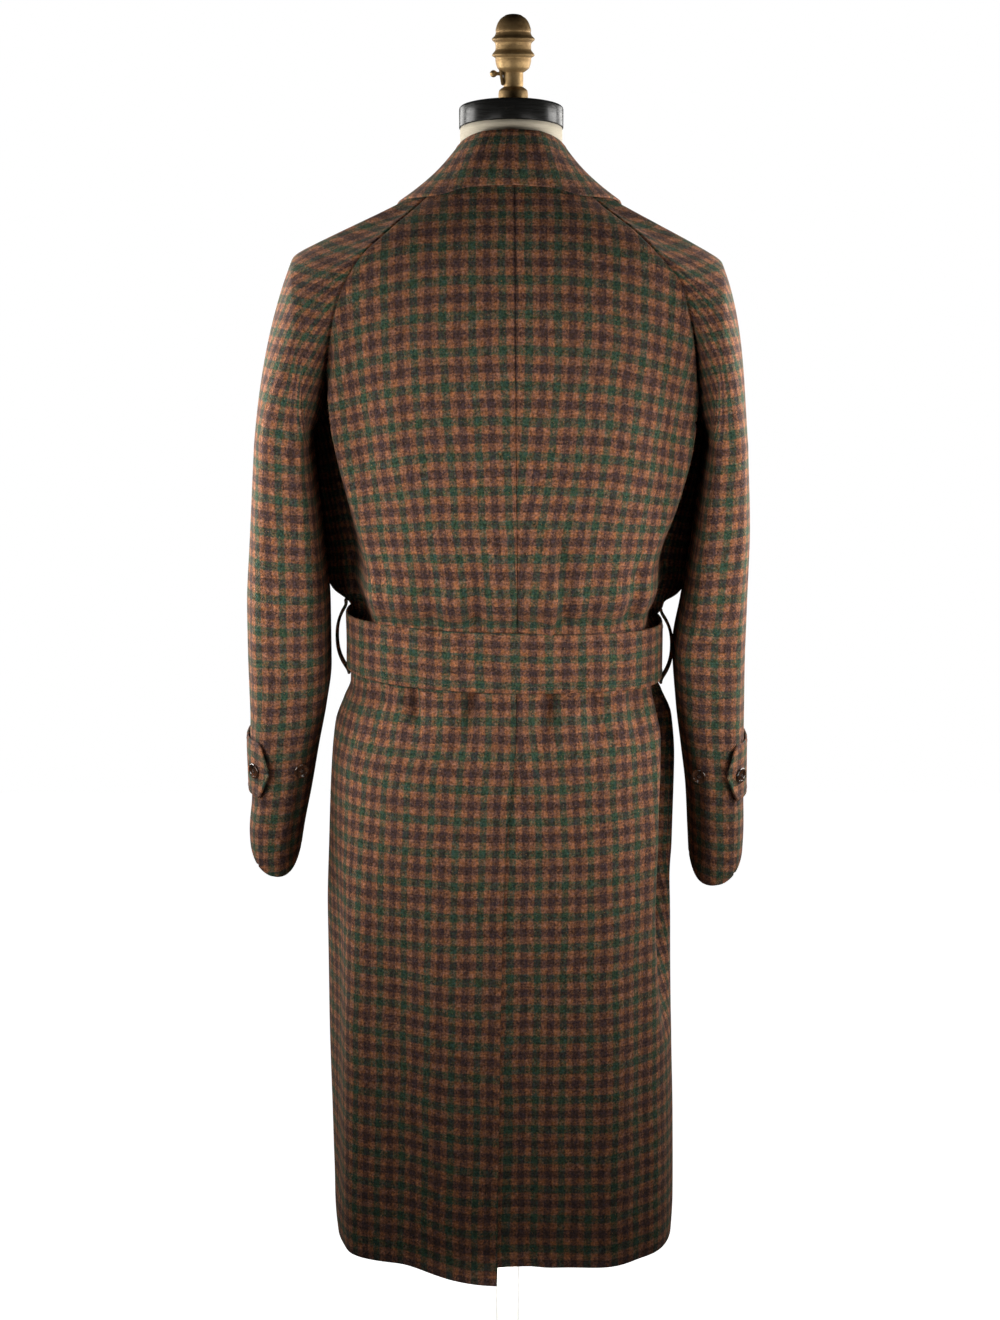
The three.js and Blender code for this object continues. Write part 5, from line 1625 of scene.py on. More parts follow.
@dataclass
class DressForm:
    """The limbless dress form, its capped neck, its finial and its stand."""

    form: CoatForm
    floor_z: float = 880.0
    clearance: float = 0.7
    widest: float = 182.0          # half the torso's greatest width
    neck_root: float = 1592.0      # where the neck becomes round
    neck_radius: float = 53.0
    neck_tilt: float = 0.17
    neck_top: float = 1618.0
    cap_height: float = 21.0
    boss_radius: float = 17.0
    boss_rise: float = 4.0
    finial_x: float = -5.0
    ear: tuple[float, float, float] = (3.2, 12.0, 23.0)
    ear_lean: float = 9.0
    screw_z: float = 1672.3
    screw_radius: float = 1.9
    screw_length: float = 20.0     # to the middle of its ball
    ball_radius: float = 3.6
    pole_radius: float = 13.0
    # The collar at the pole's foot, beyond the pole's radius and above the base.
    collar_outline: Profile = ((0.3, 0), (11, 0), (11, 3), (9, 13.7), (4.5, 24), (3, 33.7),
                               (0.3, 33.7))
    base_radius: float = 175.0
    base_height: float = 18.0
    waist: Table = table(
        "side back front",
        (880, 150, 110, 112), (960, 155, 113, 113), (1040, 140, 103, 106), (1088, 134, 98, 102),
        (1160, 143, 104, 108), (1260, 158, 112, 114), (1335, 168, 117, 114))
    # The turned finial: height and radius.
    turning: Table = table(
        "radius",
        (1643.3, 15), (1651, 15), (1655.5, 14.4), (1658, 12), (1659.6, 9.6), (1661, 10.1),
        (1673.4, 10.1), (1674.2, 11.6), (1678, 16.2), (1684.6, 18), (1687.4, 18.2), (1690, 21.6),
        (1696, 18), (1699.5, 17.9), (1702, 18.4), (1705.7, 21.8), (1709.5, 18.6), (1712.6, 17.6),
        (1713.6, 17.9), (1720, 16.4), (1725.6, 13), (1729.4, 7.6))

    def _section(self, z: float) -> tuple[float, float, float]:
        """Half sizes of the torso at a height: side, back and front."""
        if z <= self.waist.at[-1]:
            return tuple(float(self.waist(name, z)) for name in ("side", "back", "front"))
        inset, neck = CLOTH + self.clearance, float(smooth(np.array((z - 1545) / 23)))
        left, right, back, front = (float(self.form.ring(name, z))
                                    for name in ("left", "right", "back", "front"))
        side = min(self.widest, min(left, right) - (26 - 7 * neck))
        return side, back - inset - 6 * neck, front - inset - 2 - 2 * neck

    def _torso_ring(self, z: float, angle: Array) -> Array:
        """One level ring of the torso."""
        side, back, front = self._section(z)
        s, c = np.sin(angle), np.cos(angle)
        bow = 2 / 2.3
        shift = NECK_X * smooth(np.array((z - 1500) / 60))
        return np.stack([shift + side * signed_power(s, bow),
                         np.where(c > 0, back, front) * signed_power(c, bow),
                         np.full(angle.shape, z)], -1)

    def _neck_ring(self, radius: float, z: float, tilt: float, angle: Array) -> Array:
        """One tilted ring of the neck or its cap."""
        x, y = radius * np.sin(angle), radius * np.cos(angle)
        return np.stack([NECK_X + x, y, z + y * tilt], -1)

    @staticmethod
    def _loft(name: str, rings: list[Array]) -> Piece:
        """A closed piece through rings, its ends closed flat."""
        def shrunk(ring: Array) -> list[Array]:
            """Smaller rings inside an end ring, out from its middle."""
            centre = ring.mean(axis=0)
            return [centre + (ring - centre) * share for share in (0.02, 0.35, 0.7, 0.97)]

        grid = np.stack(shrunk(rings[0]) + rings + shrunk(rings[-1])[::-1])
        index = np.arange(grid.shape[0] * grid.shape[1]).reshape(grid.shape[:2])
        after = np.roll(index, -1, axis=1)
        faces = np.stack([index[:-1], after[:-1], after[1:], index[1:]], -1).reshape(-1, 4)
        piece = solid_mesh(name, grid.reshape(-1, 3), faces)
        body = bmesh.new()
        body.from_mesh(piece.data)
        bmesh.ops.holes_fill(body, edges=[e for e in body.edges if e.is_boundary])
        bmesh.ops.recalc_face_normals(body, faces=list(body.faces))
        body.to_mesh(piece.data)
        body.free()
        return piece

    def torso(self) -> Piece:
        """Builds the linen torso up to the neck's top."""
        angle = full_turn(120)
        root, top = self.neck_root, self.neck_top - 0.2
        heights = np.concatenate([self.floor_z + np.array([0, 2, 6]),
                                  np.linspace(self.floor_z + 14, self.form.neckline, 78)])
        rings = [self._torso_ring(float(z), angle) for z in heights]
        rings[0] = rings[0] * np.array([0.985, 0.985, 1.0])
        low, radius = rings[-1], self.neck_radius - 1
        round_neck = self._neck_ring(radius, root, self.neck_tilt / 2, angle)
        for t in steps(8)[1:-1]:
            blend = float(smooth(np.array(t)))
            mixed = low * (1 - blend) + round_neck * blend
            mixed[:, 2] = low[:, 2] * (1 - t) + round_neck[:, 2] * t
            rings.append(mixed)
        rings.append(round_neck)
        rings += [self._neck_ring(radius, root + (top - root) * t,
                                  self.neck_tilt * (0.5 + 0.5 * t), angle) for t in steps(6)[1:]]
        return self._loft("form_linen", rings)

    def cap(self) -> Piece:
        """Builds the black cap on the neck, with the boss that carries the finial."""
        angle = full_turn(96)
        radius, low, boss = self.neck_radius, self.neck_top + 0.2, self.boss_radius
        high = self.neck_top + self.cap_height
        tilted = ((radius - 0.7, low), (radius - 0.2, low + 0.3), (radius, low + 1.0),
                  (radius, low + 9), (radius, high - 2.6), (radius - 0.3, high - 1.3),
                  (radius - 1.2, high - 0.4), (radius - 2.6, high), (boss + 9, high + 0.5))
        level = ((boss + 1.2, high + 1.5), (boss + 0.6, high + 3.2),
                 (boss - 0.6, high + self.boss_rise))
        return self._loft("neck_cap_lacquer", [
            self._neck_ring(r, z, tilt, angle)
            for tilt, outline in ((self.neck_tilt, tilted), (0.0, level)) for r, z in outline])

    def _screw_axis(self) -> Matrix:
        """The frame of the thumb screw, its +Z along the coat's +X."""
        at = Matrix.Translation((self.finial_x, 0, self.screw_z))
        return at @ Matrix.Rotation(math.pi / 2, 4, "Y")

    def finial(self) -> Piece:
        """Builds the turned brass finial with its clamp ear, bored for the screw."""
        knots = self.turning.at
        heights = np.unique(np.concatenate([np.linspace(knots[0], knots[-1], 90), knots]))[1:]
        foot = self.neck_top + self.cap_height + self.boss_rise + 0.3
        profile = [(0.0, foot), (14.2, foot), *zip(self.turning("radius", heights), heights)]
        profile += [(5.0, 1730.1), (2.4, 1730.45), (0.0, 1730.5)]
        turned = lathe("finial_brass", profile, 72, Matrix.Translation((self.finial_x, 0, 0)))
        body = bmesh.new()
        bmesh.ops.create_cube(body, size=1.0)
        for vert in body.verts:
            vert.co = Vector(size * share for size, share in zip(self.ear, vert.co))
        bmesh.ops.bevel(body, geom=list(body.edges), offset=0.9, segments=3, affect="EDGES")
        lean = Matrix.Rotation(math.radians(self.ear_lean), 4, "Y")
        for vert in body.verts:
            vert.co = (lean @ vert.co + Vector((self.finial_x + 12.4, 0, self.screw_z))) * MM
        carve(turned, finished("ear", body), "UNION")
        bore = self.screw_radius + 0.35
        bit = [(0, 3.6), (bore, 3.6), (bore, 30), (0, 30)]
        carve(turned, lathe("drill", bit, 24, self._screw_axis()), "DIFFERENCE")
        soften_edges(turned, 42)
        return turned

    def screw(self) -> Piece:
        """Builds the thumb screw with its ball end, lying along +X."""
        ball, reach, radius = self.ball_radius, self.screw_length, self.screw_radius
        profile = [(0.0, 4.0), (radius - 0.4, 4.0), (radius, 4.4)]
        for z in np.arange(5.0, reach - 4.2, 0.8):
            profile += [(radius, z), (radius - 0.28, z + 0.4)]
        profile.append((radius, reach - 3.6))
        for lean in np.radians(np.linspace(-55, 88, 16)):
            profile.append((ball * math.cos(lean), reach + ball * math.sin(lean)))
        profile.append((0.0, reach + ball))
        return lathe("thumb_screw_brass", profile, 32, self._screw_axis())

    def stand(self) -> list[Piece]:
        """Builds the pole, its collar and the round base."""
        low, top = self.base_height + 0.3, self.floor_z - 0.3
        radius = self.pole_radius
        tube = rounded([(0, low), (radius, low), (radius, top), (0, top)], 0.8)
        pole = lathe("pole_enamel", tube, 64)
        collar = lathe_ring("pole_collar_enamel",
                            [(radius + r, low + z) for r, z in self.collar_outline], 64)
        base = lathe("base_iron", rounded([
            (0, 0), (self.base_radius, 0), (self.base_radius, self.base_height - 8),
            (self.base_radius - 6, self.base_height - 3), (60, self.base_height),
            (0, self.base_height)], 2.2, 5), 120)
        return [pole, collar, base]


def lathe_ring(name: str, profile: Profile, segments: int) -> Piece:
    """Turns a closed outline about +Z into a ring, in metres."""
    outline = np.array(profile)
    angles = full_turn(segments)
    grid = np.stack([np.stack([r * np.cos(angles), r * np.sin(angles), 0 * angles + z], -1)
                     for r, z in outline])
    index = np.arange(len(outline) * segments).reshape(len(outline), segments)
    after, above = np.roll(index, -1, axis=1), np.roll(index, -1, axis=0)
    both = np.roll(after, -1, axis=0)
    faces = np.stack([index, after, both, above], -1).reshape(-1, 4)
    piece = solid_mesh(name, grid.reshape(-1, 3), faces)
    soften_edges(piece, 30)
    return piece


def srgb(red: int, green: int, blue: int) -> tuple[float, float, float, float]:
    """A display colour as the linear one that shaders take."""
    def linear(value: int) -> float:
        """One channel."""
        share = value / 255
        return share / 12.92 if share <= 0.04045 else ((share + 0.055) / 1.055) ** 2.4
    return linear(red), linear(green), linear(blue), 1.0


class Shader:
    """A material under construction, with short ways to add and join its nodes."""

    def __init__(self, name: str) -> None:
        """Starts a material of that name with one principled shader."""
        self.material = bpy.data.materials.new(name)
        self.material.use_nodes = True
        self.tree = self.material.node_tree
        self.tree.nodes.clear()
        self.surface = self.node("ShaderNodeBsdfPrincipled")
        self.node("ShaderNodeOutputMaterial", Surface=self.surface.outputs["BSDF"])

    def node(self, kind: str, **sockets: object) -> bpy.types.Node:
        """Adds a node; names with a capital set sockets, the others set its properties."""
        made = self.tree.nodes.new(kind)
        for name, value in sockets.items():
            label = name.replace("_", " ")
            if label in made.inputs and name[0].isupper():
                self.feed(made.inputs[label], value)
            else:
                setattr(made, name, value)
        return made

    def join(self, start: Socket, end: Socket) -> None:
        """Links two sockets."""
        self.tree.links.new(start, end)

    def feed(self, socket: Socket, value: object) -> None:
        """Gives a socket a link or a constant."""
        if isinstance(value, Socket):
            self.join(value, socket)
        else:
            socket.default_value = value

    def sum(self, operation: str, first: object, second: object = 0.0, third: object = 0.0,
            clamp: bool = False) -> Socket:
        """The result of one arithmetic step."""
        made = self.node("ShaderNodeMath", operation=operation, use_clamp=clamp)
        for socket, value in zip(made.inputs, (first, second, third)):
            self.feed(socket, value)
        return made.outputs[0]

    def noise(self, place: Socket, size: float, detail: float = 2.0,
              roughness: float = 0.5) -> Socket:
        """Soft noise from 0 to 1, its features about size across, in metres."""
        made = self.node("ShaderNodeTexNoise", Vector=place, Scale=1.0 / size, Detail=detail,
                         Roughness=roughness)
        return made.outputs["Fac"]

    def spread(self, value: Socket, low: float, high: float, start: float = 0.0,
               stop: float = 1.0) -> Socket:
        """Stretches a value's range from start-stop to low-high."""
        return self.node("ShaderNodeMapRange", Value=value, From_Min=start, From_Max=stop,
                         To_Min=low, To_Max=high).outputs["Result"]

    def patches(self, place: Socket, noise: tuple[float, ...],
                levels: tuple[float, ...]) -> Socket:
        """Noise of a size, detail and roughness, stretched as spread does it."""
        return self.spread(self.noise(place, *noise), *levels)

    def mix(self, share: object, first: object, second: object, blend: str = "MIX") -> Socket:
        """Two colours mixed."""
        made = self.node("ShaderNodeMix", data_type="RGBA", blend_type=blend)
        made.clamp_factor = True
        for socket, value in ((0, share), (6, first), (7, second)):
            self.feed(made.inputs[socket], value)
        return made.outputs[2]

    def ramp(self, value: Socket, stops: Sequence[tuple[float, tuple]]) -> Socket:
        """A colour ramp through the stops."""
        made = self.node("ShaderNodeValToRGB", Fac=value)
        elements = made.color_ramp.elements
        elements[0].position, elements[0].color = stops[0]
        elements[1].position, elements[1].color = stops[-1]
        for position, colour in stops[1:-1]:
            elements.new(position).color = colour
        return made.outputs["Color"]

    def vector(self, operation: str, *values: object) -> Socket:
        """The result of one step with vectors."""
        made = self.node("ShaderNodeVectorMath", operation=operation)
        for socket, value in zip(made.inputs, values):
            self.feed(socket, value)
        return made.outputs[0]

    def grey(self, level: Socket) -> Socket:
        """A grey of that level, to multiply a colour by."""
        made = self.node("ShaderNodeCombineColor", Red=level, Green=level, Blue=level)
        return made.outputs["Color"]

    def stretched(self, place: Socket, *scale: float,
                  turn: tuple[float, ...] = (0.0, 0.0, 0.0)) -> Socket:
        """A place scaled along its axes, so that what is drawn there runs one way."""
        return self.node("ShaderNodeMapping", Vector=place, Scale=scale,
                         Rotation=turn).outputs["Vector"]

    def places(self) -> Socket:
        """The piece's own coordinates, in metres."""
        return self.node("ShaderNodeTexCoord").outputs["Object"]

    def bump(self, height: Socket, distance: float, strength: float = 1.0,
             below: Socket | None = None) -> Socket:
        """Raises the surface by a height from 0 to 1, over distance metres."""
        under = {} if below is None else {"Normal": below}
        return self.node("ShaderNodeBump", Height=height, Distance=distance, Strength=strength,
                         **under).outputs["Normal"]

    def finish(self, **constants: object) -> Material:
        """Sets the surface's sockets and hands the material over."""
        for name, value in constants.items():
            self.feed(self.surface.inputs[name.replace("_", " ")], value)
        return self.material


@dataclass(frozen=True)
class WoolCheck:
    """Brushed wool coating in a check of orange, green and plum bands."""

    orange: tuple = srgb(136, 91, 66)
    green: tuple = srgb(47, 69, 54)
    plum: tuple = srgb(66, 50, 47)
    dark_band: float = 0.27        # share of a repeat that each dark band takes
    edge: float = 0.022            # softness of a band's edge, as a share of the repeat
    darker: float = 0.36           # how much more the darker yarn shows where two cross
    fleck: tuple = srgb(190, 142, 96)
    warm_tint: tuple = (1.12, 1.00, 0.78, 1.0)
    cool_tint: tuple = (0.90, 0.98, 1.22, 1.0)
    twill: float = 0.0030          # spacing of the diagonal lines, in metres
    streak: tuple[float, float] = (0.0019, 0.009)    # width and length of a yarn's streaks
    # What makes the bands wander: size of the wander, its detail, and how far it goes.
    wander: tuple[tuple[float, float, float], ...] = ((0.0022, 2.0, 0.0034), (0.06, 1.0, 0.0050))
    # Sizes, in metres, of the fuzz between the yarns, the heather and mottle of their
    # depth, the clouds of warm and cool dye, the flecks and the nap.
    fuzz: float = 0.0021
    heather: float = 0.0023
    mottle: float = 0.009
    dye: float = 0.0034
    fleck_size: float = 0.0016
    nap: float = 0.0020

    def _bands(self, shader: Shader, place: Socket, repeat: float) -> Socket:
        """Colours of the yarns that run one way."""
        turns = shader.sum("FRACT", shader.sum("DIVIDE", place, repeat * MM))
        half, soft = self.dark_band / 2, self.edge
        stops: list[tuple[float, tuple]] = [(0.0, self.green)]
        for change, before, after in (
                (half, self.green, self.orange), (0.5 - half, self.orange, self.plum),
                (0.5 + half, self.plum, self.orange), (1 - half, self.orange, self.green)):
            stops += [(change - soft, before), (change + soft, after)]
        return shader.ramp(turns, stops + [(1.0, self.green)])

    @staticmethod
    def _yarns(shader: Shader, colour: Socket, cloth: Socket,
               size: tuple[float, float]) -> Socket:
        """Gives each yarn its own depth of colour; size is a streak's width and length."""
        streak = shader.noise(shader.stretched(cloth, 1 / size[0], 1 / size[1], 1.0), 1.0)
        depth = shader.spread(streak, 0.66, 1.36, 0.32, 0.68)
        return shader.mix(1.0, colour, shader.grey(depth), "MULTIPLY")

    def material(self) -> Material:
        """Builds the finish; it reads the cloth's own map, in metres of check."""
        shader = Shader("wool_check")
        cloth = shader.node("ShaderNodeUVMap", uv_map="UVMap").outputs["UV"]
        solid = shader.places()
        sources = [shader.node("ShaderNodeTexNoise", Vector=solid, Scale=1 / size, Detail=detail)
                   for size, detail, _ in self.wander]
        shifts = []
        for source, (_, _, reach) in zip(sources, self.wander):
            centred = shader.vector("SUBTRACT", source.outputs["Color"], (0.5, 0.5, 0.5))
            scaled = shader.node("ShaderNodeVectorMath", operation="SCALE", Scale=reach)
            shader.join(centred, scaled.inputs[0])
            shifts.append(scaled.outputs[0])
        moved = cloth
        for shift in shifts:
            moved = shader.vector("ADD", moved, shift)
        split = shader.node("ShaderNodeSeparateXYZ", Vector=moved)
        across, along = split.outputs["X"], split.outputs["Y"]
        wide, long = self.streak
        warp = self._bands(shader, across, REPEAT_ACROSS)
        warp = self._yarns(shader, warp, cloth, (wide, long))
        weft = self._bands(shader, along, REPEAT_ALONG)
        weft = self._yarns(shader, weft, cloth, (long, wide))
        straight = shader.node("ShaderNodeSeparateXYZ", Vector=cloth)
        diagonal = shader.sum("ADD", straight.outputs["X"], straight.outputs["Y"])
        wave = shader.sum("SINE", shader.sum("MULTIPLY", diagonal, 2 * math.pi / self.twill))
        fuzz = shader.noise(solid, self.fuzz, 2.0, 0.6)
        over = shader.sum("ADD", shader.sum("MULTIPLY", wave, 0.08),
                          shader.spread(fuzz, 0.1, 0.94, 0.34, 0.66))
        colour = shader.mix(over, warp, weft)
        colour = shader.mix(self.darker, colour, shader.mix(1.0, warp, weft, "DARKEN"))
        heather = shader.patches(solid, (self.heather, 2.0, 0.7), (0.42, 1.62, 0.32, 0.70))
        mottle = shader.patches(solid, (self.mottle, 3.0, 0.6), (0.86, 1.14, 0.3, 0.7))
        shade = shader.sum("MULTIPLY", heather, mottle)
        colour = shader.mix(1.0, colour, shader.grey(shade), "MULTIPLY")
        dye = shader.mix(shader.patches(solid, (self.dye, 2.0), (0.0, 1.0, 0.35, 0.65)),
                         self.warm_tint, self.cool_tint)
        colour = shader.mix(1.0, colour, dye, "MULTIPLY")
        fleck = shader.patches(solid, (self.fleck_size, 1.0), (0.0, 0.5, 0.68, 0.80))
        colour = shader.mix(fleck, colour, self.fleck)
        nap = shader.noise(solid, self.nap, 4.0, 0.7)
        relief_in = shader.bump(nap, 0.0009, 0.55)
        relief_out = shader.bump(wave, 0.00022, 0.35, relief_in)
        roughness = shader.spread(nap, 0.84, 0.98, 0.3, 0.7)
        return shader.finish(Base_Color=colour, Roughness=roughness, Normal=relief_out,
                             Sheen_Weight=0.07, Sheen_Roughness=0.45,
                             Sheen_Tint=(0.86, 0.66, 0.5, 1.0), Specular_IOR_Level=0.15)


@dataclass(frozen=True)
class Horn:
    """Polished dark horn with paler streaks."""

    dark: tuple = srgb(24, 15, 11)
    pale: tuple = srgb(104, 64, 38)

    def material(self) -> Material:
        """Builds the finish."""
        shader = Shader("horn")
        solid = shader.places()
        veins = shader.stretched(solid, 1.0, 1.0, 0.35, turn=(0.2, 0.5, 0.1))
        streak = shader.noise(veins, 0.0045, 4.0, 0.6)
        grain = shader.noise(solid, 0.0011, 2.0)
        share = shader.sum("MULTIPLY", shader.spread(streak, 0.0, 1.0, 0.42, 0.72),
                           shader.spread(grain, 0.5, 1.0, 0.3, 0.7))
        colour = shader.mix(share, self.dark, self.pale)
        rough = shader.patches(solid, (0.003, 3.0), (0.14, 0.3, 0.3, 0.7))
        return shader.finish(Base_Color=colour, Roughness=rough, Coat_Weight=1.0,
                             Coat_Roughness=0.06, Normal=shader.bump(grain, 0.0001, 0.4))


@dataclass(frozen=True)
class AgedBrass:
    """Turned brass, browned in clouds and browner towards its top, with dark specks."""

    bright: tuple = srgb(176, 146, 100)
    brown: tuple = srgb(112, 86, 52)
    tarnish: tuple = srgb(46, 38, 24)
    dome: tuple[float, float] = (1.690, 1.722)     # heights over which the top darkens

    def material(self) -> Material:
        """Builds the finish."""
        shader = Shader("aged_brass")
        solid = shader.places()
        cloud = shader.noise(solid, 0.011, 4.0, 0.6)
        speck = shader.noise(solid, 0.0018, 3.0, 0.7)
        height = shader.node("ShaderNodeSeparateXYZ", Vector=solid).outputs["Z"]
        # The top is drawn browner by its height alone.
        top = shader.spread(height, 0.0, 0.5, *self.dome)
        brown_share = shader.sum("ADD", shader.spread(cloud, 0.0, 0.7, 0.35, 0.75), top, clamp=True)
        colour = shader.mix(brown_share, self.bright, self.brown)
        colour = shader.mix(shader.spread(speck, 0.0, 0.75, 0.58, 0.76), colour, self.tarnish)
        rough = shader.spread(cloud, 0.50, 0.68, 0.3, 0.7)
        turning = shader.node("ShaderNodeTexWave", Vector=solid, Scale=260.0, Distortion=1.4,
                              Detail=2.0, bands_direction="Z").outputs["Fac"]
        pits = shader.bump(speck, 0.0002, 0.3)
        return shader.finish(Base_Color=colour, Metallic=0.72, Roughness=rough,
                             Normal=shader.bump(turning, 0.00004, 0.5, pits))


@dataclass(frozen=True)
class BlackLacquer:
    """Black gloss paint on turned wood, a little rubbed."""

    body: tuple = srgb(26, 26, 25)
    rubbed: tuple = srgb(58, 55, 50)

    def material(self) -> Material:
        """Builds the finish."""
        shader = Shader("black_lacquer")
        solid = shader.places()
        wear = shader.patches(solid, (0.016, 5.0, 0.7), (0.0, 1.0, 0.6, 0.8))
        lines = shader.noise(shader.stretched(solid, 1.0, 1.0, 9.0), 0.02, 4.0, 0.6)
        rough = shader.spread(lines, 0.2, 0.36, 0.3, 0.7)
        return shader.finish(Base_Color=shader.mix(wear, self.body, self.rubbed), Roughness=rough,
                             Specular_IOR_Level=0.14, Coat_Weight=0.06, Coat_Roughness=0.12,
                             Normal=shader.bump(lines, 0.00012, 0.35))


@dataclass(frozen=True)
class Linen:
    """Plain-woven linen, unbleached and slightly slubbed."""

    light: tuple = srgb(216, 206, 186)
    shade: tuple = srgb(186, 175, 152)
    thread: float = 0.0009

    def material(self) -> Material:
        """Builds the finish."""
        shader = Shader("linen")
        solid = shader.places()
        split = shader.node("ShaderNodeSeparateXYZ", Vector=solid)
        level = shader.sum("ARCTAN2", split.outputs["X"], split.outputs["Y"])
        around = shader.sum("MULTIPLY", level, 0.056)
        turns = 2 * math.pi / self.thread
        warp = shader.sum("SINE", shader.sum("MULTIPLY", around, turns))
        weft = shader.sum("SINE", shader.sum("MULTIPLY", split.outputs["Z"], turns))
        weave = shader.sum("MULTIPLY_ADD", shader.sum("MULTIPLY", warp, weft), 0.5, 0.5)
        slub = shader.noise(shader.stretched(solid, 1.0, 1.0, 14.0), 0.012, 3.0, 0.6)
        share = shader.sum("ADD", shader.sum("MULTIPLY", weave, 0.55),
                           shader.spread(slub, -0.1, 0.5, 0.35, 0.7), clamp=True)
        colour = shader.mix(share, self.light, self.shade)
        thick = shader.bump(slub, 0.0004, 0.3)
        return shader.finish(Base_Color=colour, Roughness=0.86, Sheen_Weight=0.12,
                             Normal=shader.bump(weave, 0.00025, 0.6, thick))


@dataclass(frozen=True)
class PaleEnamel:
    """Off-white enamel, stoved on steel tube, with a faint orange-peel skin."""

    body: tuple = srgb(243, 242, 238)
    rubbed: tuple = srgb(222, 220, 214)

    def material(self) -> Material:
        """Builds the finish."""
        shader = Shader("pale_enamel")
        solid = shader.places()
        wear = shader.patches(solid, (0.02, 4.0, 0.6), (0.0, 1.0, 0.5, 0.8))
        skin = shader.noise(solid, 0.0016, 2.0)
        return shader.finish(Base_Color=shader.mix(wear, self.body, self.rubbed),
                             Roughness=shader.spread(skin, 0.28, 0.42, 0.3, 0.7),
                             Normal=shader.bump(skin, 0.00008, 0.4))


@dataclass(frozen=True)
class CastIron:
    """Blackened cast iron with a sand-cast skin."""

    body: tuple = srgb(40, 39, 38)
    worn: tuple = srgb(84, 74, 64)

    def material(self) -> Material:
        """Builds the finish."""
        shader = Shader("cast_iron")
        solid = shader.places()
        skin = shader.noise(solid, 0.0022, 4.0, 0.7)
        cloud = shader.patches(solid, (0.03, 4.0, 0.65), (0.0, 0.7, 0.5, 0.75))
        return shader.finish(Base_Color=shader.mix(cloud, self.body, self.worn), Metallic=0.6,
                             Roughness=shader.spread(skin, 0.42, 0.68, 0.3, 0.7),
                             Normal=shader.bump(skin, 0.0006, 0.5))


@dataclass(frozen=True)
class Thread:
    """Twisted sewing thread, with painted highlights along its twist."""

    body: tuple
    name: str
    twist: float = 0.0012

    def material(self) -> Material:
        """Builds the finish."""
        shader = Shader(self.name)
        solid = shader.places()
        ply = shader.node("ShaderNodeTexWave", Vector=solid, Scale=1 / self.twist / 6,
                          Distortion=0.6, bands_direction="DIAGONAL").outputs["Fac"]
        # Painted highlight: a lighter copy of the thread's colour along the twist stands in for
        # light on each ply's crown.
        lit = tuple(min(1.0, c * 1.9) for c in self.body[:3]) + (1.0,)
        return shader.finish(Base_Color=shader.mix(ply, self.body, lit), Roughness=0.75,
                             Sheen_Weight=0.2, Normal=shader.bump(ply, 0.0001, 0.5))


